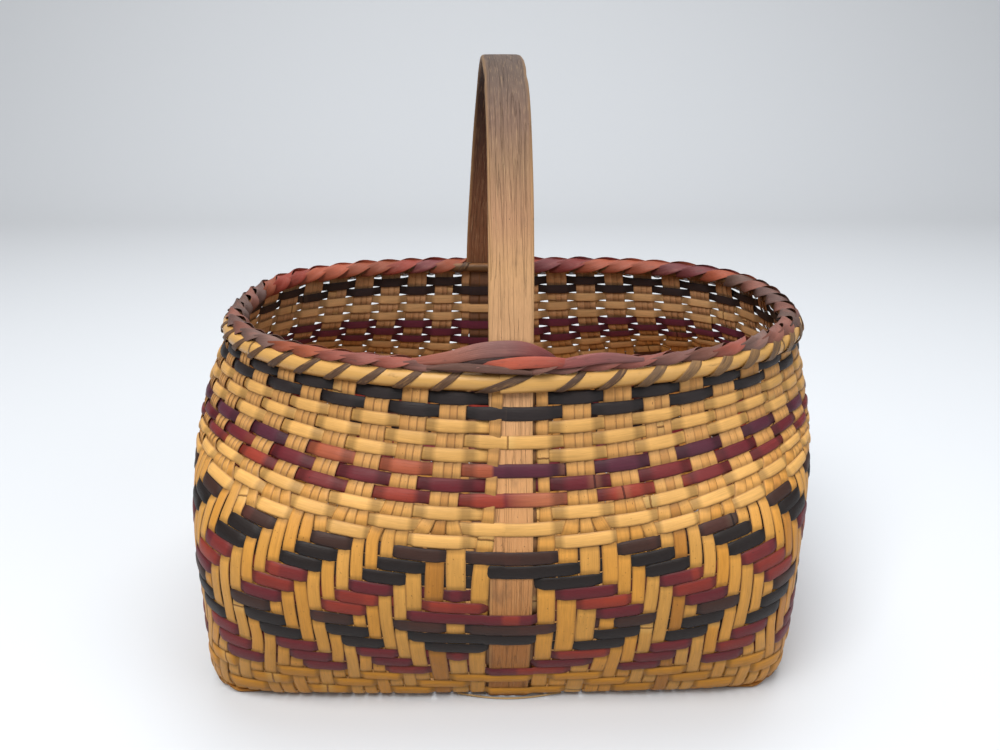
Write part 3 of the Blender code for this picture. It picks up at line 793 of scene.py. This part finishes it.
def weft_path(row):
    """One weft's stations round the wall, its width and where it dips under a splint."""
    standing = stands(np.arange(SPLINTS + 1), row - 0.5)
    standing = np.append(standing[-2] - COLUMNS, standing)
    stations = (np.arange(SPLINTS)[:, None] + CROSSING_STATIONS).ravel()
    column = np.interp(stations, np.arange(-1, SPLINTS + 1), standing)
    offsets, tucked = woven(OUTSIDE[row - 1], True)
    rise, narrowing = (WEFT_RISE_HIGH, 0.07) if row > LOWER_ROWS else (WEFT_RISE_LOW, 0.08)
    at_leg = np.isin(np.round(stations).astype(int) % (SPLINTS // 2), (SPLINTS // 2 - 1, 0, 1))
    off = offsets * np.where(at_leg, np.where(offsets > 0, WEFT_OUT_OF_LEG, WEFT_IN_OF_LEG), rise)
    fade = min(1.0, row / 4) * min(1.0, (ROWS + 0.4 - row) / 2)
    wander = 0.00026 * sway(column + row * 3.0, 57, 23) + 0.00016 * sway(column, 90 + row, 9)
    climb = climb_at(row - 0.5, column) + wander * fade
    point, _, up, out = on_wall(column, height_of(climb), off)
    over, under = (on_wall(column, height_of(climb_at(row - 0.5 + k, column)))[0] for k in (0.5, -0.5))
    pitch = np.linalg.norm(over - under, axis=1)
    width = pitch * (0.97 + 0.035 * sway(column, 130 + row, 14)) * (1 - narrowing * tucked)
    return point, up, out, width, column, tucked


def add_loose_end(strips):
    """The thin split end of the lowest weft, which has sprung loose under the front edge."""
    column = np.linspace(-3.4, 3.6, 41)
    bow = np.sin(math.pi * np.linspace(0, 1, len(column)))
    point, _, _, out = on_wall(column, 0.0)
    point = point + out * (0.0042 * bow - 0.0012)[:, None]
    point[:, 2] = 0.0009 - 0.0005 * bow
    facing = np.tile(UPWARD, (len(column), 1))
    strips.add(point, out, facing, 0.0010, 0.0005, srgb(196, 164, 116), start=40.0)


for row, dye in enumerate(ROW_DYES, 1):
    point, up, out, width, column, tucked = weft_path(row)
    # Painted shade: each weft's colour is darker where it dives under a splint.
    tint = weft_dye(row, column) * (1 - WEFT_SHADED * tucked[:, None])
    undyed, dark = dye.sum() > 0.9, dye.sum() < 0.13
    pith = PITH if undyed else DYED_PITH
    strips = Strips(WEFT_SECTION)
    strips.add(point, up, out, width, WEFT_THICK, tint, closed=True, start=row * 613.0, inside=pith)
    if row == 1:
        add_loose_end(strips)
    node, finish = f"weft_{row:02d}", natural_weft if undyed else dark_weft if dark else dyed_weft
    piece = strips.piece(node + "_cane", finish)
    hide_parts(node)
    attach(piece, "root")

# Handle. One strap of split oak, bent to a bow. Its two shaved ends run down inside the
# weave to the base, so wefts cross it there, and the bow stands free over the mouth.
HANDLE_WIDTH = 0.0196
HANDLE_THICK = 0.0036
HANDLE_WOVEN_THICK = 0.0012
HANDLE_NOTCH_THICK = 0.0024
HANDLE_HEIGHT = 0.2996
HANDLE_SQUARENESS = 2.7
HANDLE_FOOT = 0.0012
FRONT_LEG_LEANS = 0.0008
BACK_LEG_LEANS = 0.0017
LEGS_LEAN_ABOVE = 0.10
BOW_VEERS_LATE = 2.8
LEG_STATIONS = 46
BOW_STATIONS = 90
STRAP_SECTION = np.array([
    (-0.5, -0.22), (-0.495, 0.20), (-0.465, 0.40), (-0.40, 0.48), (-0.15, 0.5), (0.15, 0.5),
    (0.40, 0.48), (0.465, 0.40), (0.495, 0.20), (0.5, -0.22), (0.46, -0.42), (0.36, -0.49),
    (0.12, -0.5), (-0.12, -0.5), (-0.36, -0.49), (-0.46, -0.42),
])


def oak_finish():
    """Old split oak: dark pores drawn along the grain, pale worn ridges, grime and checks."""
    made, shade, tint = new_finish("worn oak")
    shade.across = shade.across + (shade.mottle(0, 60.0, 0.8, 1.0) - 0.5) * 0.10
    pores = shade.mottle(0, 5.0, 0.008, 2.0)
    grain = shade.mottle(400, 30.0, 0.022, 2.0)
    pale = shade.mottle(3700, 12.0, 0.012, 2.0).step(0.58, 0.70)
    stain = shade.mottle(900, 24.0, 0.7, 3.0)
    split = shade.maths("ABSOLUTE", shade.mottle(1300, 95.0, 0.11, 1.0) - 0.5)
    check = 1 - split.step(0.004, 0.016)
    speck = shade.mottle(2100, 2.2, 0.09, 2.0).step(0.68, 0.76)
    chip = shade.mottle(2900, 7.0, 0.22, 2.0).step(0.76, 0.80)
    colour = shade.painted(
        shade.lit(tint, 0.54 + pores * 0.46 + grain * 0.46),
        (pores.step(0.42, 0.32) * 0.14, srgb(84, 56, 38)),
        (pale * 0.36, srgb(226, 190, 144)),
        (stain.step(0.52, 0.72) * 0.40, srgb(92, 72, 60)),
        (check * 0.2, srgb(52, 36, 28)),
        (speck * 0.6, srgb(58, 42, 34)),
        (chip * 0.8, srgb(196, 158, 116)),
        (shade.edge(0.40) * 0.35, srgb(200, 156, 104)),
    )
    roughness = 0.50 + grain * 0.16 + stain * 0.10
    relief = pores * 0.35 + grain * 0.5 - check * 0.8 - chip * 0.7
    close_finish(shade, colour, roughness, relief, 0.0004)
    return made


def handle_strap():
    """Stations up the front leg, over the bow and down the back leg, with the thickness."""
    leg = np.linspace(HANDLE_FOOT, RIM_HEIGHT, LEG_STATIONS)
    front, front_round, _, front_out = on_wall(0.0, leg)
    back, back_round, _, back_out = on_wall(COLUMNS / 2, leg)
    foot, far = front[-1], back[-1]
    share = np.linspace(0, 1, BOW_STATIONS + 2)[1:-1]
    rise, swing = np.sin(math.pi * share), np.cos(math.pi * share)
    power = 2 / HANDLE_SQUARENESS
    bow = np.stack([
        foot[0] + (far[0] - foot[0]) * share**BOW_VEERS_LATE,
        np.where(share < 0.5, foot[1], -far[1]) * np.sign(swing) * np.abs(swing) ** power,
        RIM_HEIGHT + (HANDLE_HEIGHT - HANDLE_THICK / 2 - RIM_HEIGHT) * rise**power,
    ], axis=1)
    leaning = smooth((leg - LEGS_LEAN_ABOVE) / (RIM_HEIGHT - LEGS_LEAN_ABOVE))
    front[:, 0] -= FRONT_LEG_LEANS * leaning
    back[:, 0] -= BACK_LEG_LEANS * leaning
    bow[:, 0] -= FRONT_LEG_LEANS * (1 - share) + BACK_LEG_LEANS * smooth(share * 1.3)
    path = np.concatenate([front, bow, back[::-1]])
    across = np.concatenate([front_round, np.tile((1.0, 0, 0), (BOW_STATIONS, 1)), -back_round[::-1]])
    centre = np.array(((foot[0] + far[0]) / 2, 0.0, RIM_HEIGHT))
    out = np.concatenate([front_out, bow - centre, back_out[::-1]])
    thick = np.full(len(path), HANDLE_WOVEN_THICK)
    thick[LEG_STATIONS:-LEG_STATIONS] = HANDLE_THICK
    thick[[LEG_STATIONS + 1, -LEG_STATIONS - 2]] = HANDLE_NOTCH_THICK
    return path, across, out, thick


def handle_width(count):
    """The strap's width: it wanders a little, narrows to the feet and has two small dents."""
    station = np.arange(count)
    width = HANDLE_WIDTH + 0.00028 * sway(station, 801, 40)
    width = width - 0.0005 * smooth((np.abs(station - count / 2) - 30) / 30)
    for dent, deep in ((79, 0.0005), (80, 0.0004)):
        width = width - deep * np.exp(-(((station - dent) / 1.2) ** 2))
    return width


WEAR_HEIGHTS = (0.01, 0.045, 0.085, 0.13, 0.18, 0.215, 0.235, 0.257, 0.272, 0.29)
WEAR = np.array([srgb(*colour) for colour in (
    (182, 122, 68), (186, 124, 70), (204, 146, 94), (220, 164, 110), (220, 171, 126),
    (209, 163, 117), (182, 138, 104), (143, 111, 83), (114, 88, 72), (86, 69, 59),
)])
INSIDE_LOW, INSIDE_HIGH = srgb(118, 74, 48), srgb(64, 44, 38)


def handle_tint(height):
    """The strap's colour by height: worn pale outside low down, grimy inside and on top."""
    outside = np.stack([np.interp(height, WEAR_HEIGHTS, WEAR[:, k]) for k in range(3)], axis=1)
    inside = mixed(INSIDE_LOW, INSIDE_HIGH, smooth((height - 0.17) / 0.12)[:, None])
    return np.where(STRAP_SECTION[None, :, 1:] < -0.1, inside[:, None], outside[:, None])


path, across, out, thick = handle_strap()
strips = Strips(STRAP_SECTION)
strips.add(path, across, out, handle_width(len(path)), thick, handle_tint(path[:, 2]), start=60.0)
handle = strips.piece("handle_bow_oak", oak_finish())
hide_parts("handle_bow")
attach(handle, "root")

# Rim hoops. A half-round cane hoop is bound on outside the top of the wall and a thinner,
# narrower one inside it. The ends of each are pared down and lapped at the front.
RIM_LOW = 0.1628
OUTER_HOOP_FACE = 0.0012
OUTER_HOOP_THICK = 0.0040
INNER_HOOP_FACE = 0.0018
INNER_HOOP_THICK = 0.0028
INNER_HOOP_TALL = 0.0056
OUTER_HOOP_TALL = 0.0081
OVER_END_THIN, UNDER_END_THIN = 0.22, 0.20
LAP_COLUMNS = 4.0
LAP_STARTS = -0.85
half_round = np.linspace(-math.pi / 2, math.pi / 2, 9)
HOOP_SECTION = np.concatenate([
    np.stack([0.5 * np.sin(half_round), -0.42 + 0.92 * np.cos(half_round) ** 0.8], axis=1),
    np.array([(0.42, -0.5), (0.0, -0.5), (-0.42, -0.5)]),
])


def on_rim(column, height, off):
    """Points at the rim, a level way out from the wall, with the ways round, up and out."""
    point, round_it, up, _ = on_wall(column, height)
    out = unit(np.cross(round_it, UPWARD))
    return point + out * np.broadcast_to(off, np.shape(column))[..., None], round_it, up, out


def hoop_finish(name, polish, dark):
    """Half-round cane with its glossy rind: faint fibres, joints, amber edges, grime."""
    made, shade, tint = new_finish(name)
    fibre = shade.mottle(0, 26.0, 0.035, 3.0)
    patch = shade.mottle(200, 30.0, 0.6, 2.0)
    joint_place = shade.maths("PINGPONG", shade.along + fibre * 1.5, 96.0)
    joint = 1 - joint_place.step(0.3, 1.0)
    grime = shade.mottle(600, 8.0, 0.3, 3.0).step(0.58, 0.76)
    colour = shade.painted(
        shade.lit(tint, 0.66 + fibre * 0.34 + patch * 0.32),
        (shade.edge(0.30) * 0.45, srgb(150, 96, 44)),
        (grime * dark, srgb(96, 66, 42)),
        (joint * 0.8, srgb(96, 62, 34)),
    )
    close_finish(shade, colour, polish + grime * 0.2, fibre * 0.4 + patch * 0.4 - joint, 0.0003)
    return made


def add_hoop(name, node, face, thick, tall, sign, tint, finish, seed):
    """One hoop as a long strip whose pared ends lap over each other at the front."""
    column = np.linspace(LAP_STARTS, LAP_STARTS + COLUMNS + LAP_COLUMNS, 540)
    start_share = (column - LAP_STARTS) / LAP_COLUMNS
    end_share = (column - LAP_STARTS - COLUMNS) / LAP_COLUMNS
    over = OVER_END_THIN + (1 - OVER_END_THIN) * np.clip(start_share, 0, 1)
    under = 1 - (1 - UNDER_END_THIN) * np.clip(end_share, 0, 1)
    on_top = start_share < 1
    part = np.where(on_top, over, under) * thick - 0.0001 * (on_top | (end_share > 0))
    middle = np.where(on_top, face + thick - part / 2, face + part / 2)
    wave = 0.00022 * sway(column, seed, 19)
    tall = tall + 0.0003 * sway(column, seed + 1, 11)
    point, _, up, out = on_rim(column, RIM_HEIGHT - tall / 2 + wave, sign * middle)
    strips = Strips(HOOP_SECTION)
    strips.add(point, up, sign * out, tall, part, tint, start=40.0)
    piece = strips.piece(name, finish)
    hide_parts(node)
    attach(piece, "root")


add_hoop(
    "outer_hoop_cane", "outer_hoop", OUTER_HOOP_FACE, OUTER_HOOP_THICK, OUTER_HOOP_TALL, 1,
    srgb(212, 164, 94), hoop_finish("hoop rind", 0.30, 0.45), 611,
)
add_hoop(
    "inner_hoop_cane", "inner_hoop", INNER_HOOP_FACE, INNER_HOOP_THICK, INNER_HOOP_TALL, -1,
    srgb(100, 72, 48), hoop_finish("old hoop", 0.42, 0.6), 617,
)

# Rim lashing. One flat strip of brown bark winds round both hoops and through the wall
# under them, once for each gap between bundles, and leans as it goes.
LASH_THICK = 0.00040
LASH_CLEAR, LASH_SLACK = 0.0003, 0.0001
LASH_WIDTH, LASH_WIDTH_VARIES, LASH_WIDER_BY = 0.0027, 0.0012, 0.0016
LASH_PAST_HOOP = 0.0004
LASH_LOW = RIM_LOW - LASH_PAST_HOOP
LASH_HIGH = RIM_HEIGHT + LASH_PAST_HOOP
LASH_FACE_STEPS = 11
TURN_SHARES = (0.0, 0.66, 0.74, 0.94)
LEG_TURN_SHARES = (0.08, 0.74, 0.84, 0.98)


def lashing_turn():
    """One turn in section: how far out, how high and how much of the way to the next turn."""
    swing = np.linspace(-0.48, 0.48, LASH_FACE_STEPS) * math.pi
    offs, heights = [], []
    for face, thick, low, way in (
        (OUTER_HOOP_FACE, OUTER_HOOP_THICK, LASH_LOW, 1),
        (INNER_HOOP_FACE, INNER_HOOP_THICK, RIM_HEIGHT - INNER_HOOP_TALL - LASH_PAST_HOOP, -1),
    ):
        offs.append(way * (face + LASH_CLEAR + (thick + LASH_SLACK) * np.cos(swing) ** 0.8))
        heights.append((low + LASH_HIGH) / 2 + way * (LASH_HIGH - low) / 2 * np.sin(swing))
    return np.concatenate(offs), np.concatenate(heights), (np.sin(swing) + 1) / 2


def bark_finish():
    """Flat bark strip: brown-grey, ribbed along, thin enough for the cane to show in spots."""
    made, shade, tint = new_finish("lashing bark")
    rib = shade.mottle(0, 16.0, 0.06, 2.0)
    thin = shade.mottle(500, 6.0, 0.35, 2.0).step(0.50, 0.72)
    colour = shade.painted(
        shade.lit(tint, 0.60 + rib * 0.78),
        (thin * 0.45, srgb(176, 134, 82)),
        (rib.step(0.46, 0.36) * 0.6, srgb(60, 44, 36)),
    )
    close_finish(shade, colour, 0.42 + rib * 0.2, rib * 0.8, 0.0002)
    return made


WIDER_TURNS = (6, 30)
WIDER_BARKS = (srgb(136, 104, 68), srgb(104, 80, 58))
BARKS = (srgb(98, 68, 44), srgb(82, 60, 46))
gaps = [FIRST_BUNDLE + BUNDLE_STEP * (k - 0.5) for k in range(len(BUNDLE_SIZES) + 1)]
gaps = gaps + [COLUMNS / 2 + gap for gap in gaps]
chance = np.random.default_rng(4100)
turns = []
turn_off, turn_height, part = lashing_turn()
turn_facing = unit(np.stack([np.gradient(turn_height), -np.gradient(turn_off)], axis=1))
for gap, following in zip(gaps, gaps[1:] + [gaps[0] + COLUMNS]):
    at_leg = following - gap > 1.4 * BUNDLE_STEP
    first, face_end, over_end, last = LEG_TURN_SHARES if at_leg else TURN_SHARES
    shares = np.concatenate([first + (face_end - first) * part, over_end + (last - over_end) * part])
    point, round_it, _, out = on_rim(gap + (following - gap) * shares, turn_height, turn_off)
    facing = out * turn_facing[:, :1] + UPWARD * turn_facing[:, 1:]
    wider = WIDER_TURNS[0] < gap < WIDER_TURNS[1]
    width = LASH_WIDTH + LASH_WIDTH_VARIES * chance.random() + (LASH_WIDER_BY if wider else 0.0)
    brown, grey = WIDER_BARKS if wider else BARKS
    tint = brown + (grey - brown) * chance.random()
    turns.append((point, round_it, facing, np.full(len(point), width), np.tile(tint, (len(point), 1))))
path, across, out, width, tint = (np.concatenate(part) for part in zip(*turns))
width = (width + np.roll(width, 9) + np.roll(width, -9)) / 3
strips = Strips()
strips.add(path, across, out, width, LASH_THICK, tint, closed=True)
lashing = strips.piece("rim_lashing_bark", bark_finish())
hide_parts("rim_lashing")
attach(lashing, "root")

# Rim braid. Dyed splints are folded over the top of the rim one after another, in and out,
# so that their leaves cross like a plait. At each leg the braid passes outside the strap.
# One narrow near-black strip at the front is painted shadow, laid in the gap under the top leaf.
BRAID_BOTTOM = RIM_HEIGHT + 0.0008
BACK_BRAID_SINKS = 0.0016
BRAID_OUT_REACH = 0.0032
BRAID_IN_REACH = 0.0055
BRAID_LEAVES = 54
LEAF_THICK = 0.0006
LEAF_TILT = 0.12
LEAF_STEPS = 15
BRAID_PAST_LEG = HANDLE_THICK / 2 + 0.0050
BRAID_TURNS_OUT = (1.6, 4.5)
FRONT_LEAF_TALL = 0.0024
BACK_LEAF_TALL = 0.0020
INNER_ENDS_LOWER = 0.0030
LEAF_WRAPS = math.radians(104)
LEAF_TOP_LATE = math.radians(20)
LEAF_CLEAR = 0.0004
OUTER_TIP_WIDTH = 0.30
INNER_TIP_WIDER = 0.22
FRONT_FACE_ENDS = 0.12
NO_LEAF_WITHIN = 2.4
LEAF_KINDS = (
    # how far from the front leg they go, length in columns, width and dyes
    (17, 5.8, 0.0054, ((146, 78, 64), (134, 76, 66), (118, 78, 70), (150, 78, 52), (108, 68, 56))),
    (40, 5.4, 0.0070, ((120, 92, 84), (104, 78, 72), (128, 82, 70), (98, 74, 66))),
    (COLUMNS, 6.4, 0.0072, ((142, 58, 44), (120, 46, 42), (154, 78, 54), (110, 52, 54), (138, 70, 46))),
)


def past_leg(column):
    """How far out the braid stands so as to pass outside the handle's legs."""
    to_leg = np.abs((np.asarray(column) + COLUMNS / 4) % (COLUMNS / 2) - COLUMNS / 4)
    near, far = BRAID_TURNS_OUT
    return BRAID_PAST_LEG * (1 - smooth((to_leg - near) / (far - near)))


def rim_face(column):
    """0 at the middle of the front of the rim, 1 at the middle of its back."""
    column = np.asarray(column) % COLUMNS
    return 1 - np.abs(column - COLUMNS / 2) / (COLUMNS / 2)


def add_leaf(strips, middle, length, wide, tint, lift, start):
    """One leaf: up the outer side of the braid, over its top and down the inner side."""
    t = np.linspace(0, 1, LEAF_STEPS)
    column = middle + length * (t - 0.5)
    past_front = rim_face(column) - FRONT_FACE_ENDS
    tall = FRONT_LEAF_TALL + (BACK_LEAF_TALL - FRONT_LEAF_TALL) * smooth(past_front / 0.5)
    turn = LEAF_WRAPS * (1 - 2 * t) + LEAF_TOP_LATE * np.sin(math.tau * t)
    swell = 0.86 + 0.22 * np.sin(math.pi * t) ** 0.7 + lift
    side = np.where(turn > 0, BRAID_OUT_REACH, BRAID_IN_REACH) * np.sin(turn) * swell
    side = side + past_leg(column) * smooth((t - 0.1) / 0.6) + LEAF_CLEAR
    up_by = tall * (0.5 + 0.5 * np.cos(turn)) * swell - INNER_ENDS_LOWER * smooth((t - 0.55) / 0.45)
    up_by = up_by - BACK_BRAID_SINKS * smooth(past_front / 0.3)
    point, round_it, _, out = on_rim(column, BRAID_BOTTOM + up_by, side)
    facing = out * np.sin(turn)[:, None] + UPWARD * (np.cos(turn) + 0.2)[:, None]
    facing = unit(facing) - round_it * LEAF_TILT
    across = np.cross(np.gradient(point, axis=0), facing)
    blunt = OUTER_TIP_WIDTH + INNER_TIP_WIDER * smooth(t / 0.6)
    width = wide * (blunt + (1 - blunt) * np.sin(math.pi * np.clip(t, 0.03, 0.97)) ** 0.5)
    # Painted shade: each leaf is darker toward its ends, where it goes under the other leaves.
    shade_ends = 0.66 + 0.34 * np.sin(math.pi * t)
    strips.add(point, across, facing, width, LEAF_THICK, tint * shade_ends[:, None], start=start)


def leaf_finish():
    """Dyed splint: faded dye over pale wood, long fibres and dirt."""
    made, shade, tint = new_finish("braid leaf")
    fibre = shade.mottle(0, 18.0, 0.05, 3.0)
    faded = shade.mottle(800, 12.0, 0.5, 3.0).step(0.50, 0.72)
    dirt = shade.mottle(1600, 7.0, 0.4, 3.0).step(0.56, 0.74)
    colour = shade.painted(
        shade.lit(tint, 0.62 + fibre * 0.72),
        (faded * 0.25, srgb(168, 112, 98)),
        (dirt * 0.45, srgb(78, 58, 54)),
    )
    close_finish(shade, colour, 0.40 + fibre * 0.2, fibre * 0.8, 0.00025)
    return made


strips = Strips()
chance = np.random.default_rng(4200)
for leaf in range(BRAID_LEAVES):
    middle = COLUMNS * leaf / BRAID_LEAVES
    from_front = min(middle, COLUMNS - middle)
    if from_front < NO_LEAF_WITHIN:
        continue
    length, wide, dyes = next(kind[1:] for kind in LEAF_KINDS if from_front < kind[0])
    tint = srgb(*dyes[int(chance.integers(len(dyes)))]) * (0.88 + 0.24 * chance.random())
    length, wide = length + 0.6 * chance.random(), wide + 0.0014 * chance.random()
    add_leaf(strips, middle, length, wide, tint, 0.16 * (chance.random() - 0.5), leaf * 97.0)

FRONT_LEAVES = (
    # width, colours from end to end, and the columns, heights and offsets that it runs through
    (0.0070, ((150, 82, 66), (146, 92, 78), (128, 88, 84), (122, 64, 62), (84, 40, 42)), (
        (-7.2, 0.1745, 0.0030), (-4.6, 0.1772, 0.0036), (-2.2, 0.1810, 0.0034),
        (0.2, 0.1820, 0.0032), (1.7, 0.1796, 0.0034), (3.0, 0.1750, 0.0032),
    )),
    # A narrow near-black strip under the top leaf: painted shadow in the gap beneath it.
    (0.0044, ((58, 38, 36),), (
        (-5.6, 0.1728, 0.0034), (-3.4, 0.1752, 0.0040), (-1.0, 0.1776, 0.0042),
        (1.4, 0.1768, 0.0040), (2.6, 0.1752, 0.0036),
    )),
    (0.0052, ((92, 40, 36), (176, 82, 58), (164, 80, 64), (128, 58, 52)), (
        (-2.8, 0.1740, 0.0040), (-1.2, 0.1752, 0.0056), (0.6, 0.1766, 0.0062),
        (2.6, 0.1764, 0.0056), (4.4, 0.1750, 0.0040),
    )),
    (0.0050, ((138, 66, 58), (134, 78, 76), (120, 84, 82)), (
        (2.0, 0.1742, 0.0052), (3.8, 0.1760, 0.0052), (6.0, 0.1768, 0.0040), (8.6, 0.1744, 0.0034),
    )),
    (0.0036, ((96, 66, 56),), (
        (-6.0, 0.1728, 0.0050), (-3.8, 0.1742, 0.0062), (-1.4, 0.1738, 0.0070), (1.2, 0.1722, 0.0068),
    )),
)
FRONT_LEAF_STARTS = (11000.0, 11500.0, 12000.0, 13000.0, 14000.0)
t = np.linspace(0, 1, 31)
for (wide, colours, knots), start in zip(FRONT_LEAVES, FRONT_LEAF_STARTS):
    column, height, off = (eased(values, t) for values in zip(*knots))
    point, _, _, out = on_rim(column, height, off)
    width = wide * (0.25 + 0.75 * np.sin(math.pi * np.clip(t, 0.03, 0.97)) ** 0.6)
    facing = out + UPWARD * 0.35
    across = np.cross(np.gradient(point, axis=0), facing)
    tint = srgb(*colours[0])
    if len(colours) > 1:
        ends = [srgb(*colour) for colour in colours]
        tint = np.stack([eased(values, t) for values in zip(*ends)], axis=1)
    strips.add(point, across, facing, width, LEAF_THICK, tint, start=start)
braid = strips.piece("rim_braid_leaves", leaf_finish())
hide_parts("rim_braid")
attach(braid, "root")

# Floor, wall behind and lights: a plain pale studio.
paper = bpy.data.materials.new("studio paper")
paper.use_nodes = True
surface = paper.node_tree.nodes["Principled BSDF"]
surface.inputs["Roughness"].default_value = 0.9
sight = Shade(paper.node_tree).node("LightPath")
seen = sight.maths("MAXIMUM", sight.out("Is Glossy Ray"), sight.out("Is Transmission Ray"))
seen = sight.maths("MAXIMUM", seen, sight.out("Is Camera Ray"))
paper_colour = sight.blend(seen, (0.34, 0.32, 0.30, 1.0), (0.72, 0.755, 0.80, 1.0))
paper.node_tree.links.new(paper_colour.socket, surface.inputs["Base Color"])
FLOOR_REACH = 40.0
SWEEP_AT, SWEEP_RADIUS, SWEEP_TOP = 1.2, 0.6, 2.6
sweep = bpy.data.meshes.new("studio_sweep")
sweep_line = [(-FLOOR_REACH, 0.0)] + [
    (SWEEP_AT + SWEEP_RADIUS * math.sin(a), SWEEP_RADIUS - SWEEP_RADIUS * math.cos(a))
    for a in np.linspace(0, math.pi / 2, 14)
] + [(SWEEP_AT + SWEEP_RADIUS, SWEEP_TOP)]
sweep.from_pydata(
    [(x, y, z) for y, z in sweep_line for x in (-FLOOR_REACH, FLOOR_REACH)],
    [],
    [(2 * i, 2 * i + 1, 2 * i + 3, 2 * i + 2) for i in range(len(sweep_line) - 1)],
)
sweep.polygons.foreach_set("use_smooth", [True] * len(sweep.polygons))
sweep.materials.append(paper)
backdrop = new_object("studio_sweep", sweep)
backdrop.location.z = solid_box[0][2] - 0.0002


def lamp(name, at, aim, size, power, colour=(1.0, 1.0, 1.0)):
    """A square soft light that faces a point."""
    light = bpy.data.lights.new(name, "AREA")
    light.size, light.energy, light.color = size, power, colour
    made = new_object(name, light)
    made.location = at
    made.rotation_euler = (Vector(aim) - Vector(at)).to_track_quat("-Z", "Y").to_euler()


lamp("key_softbox", (-0.45, -1.0, 1.6), (0, 0, 0.1), 1.0, 30.0, (1.0, 0.98, 0.95))
lamp("fill_softbox", (1.2, -0.9, 0.9), (0, 0, 0.1), 1.2, 7.0, (0.98, 0.99, 1.0))
lamp("top_softbox", (0.1, 0.3, 1.6), (0, 0, 0.0), 1.2, 11.0)
lamp("wall_softbox", (0.0, 0.75, 1.9), (0, 1.8, 0.5), 1.6, 9.0)
world = bpy.data.worlds.new("studio")
bpy.context.scene.world = world
world.use_nodes = True
world.node_tree.nodes["Background"].inputs["Color"].default_value = (0.95, 0.97, 1.0, 1.0)
world.node_tree.nodes["Background"].inputs["Strength"].default_value = 0.24
bpy.context.scene.view_settings.view_transform = "Standard"
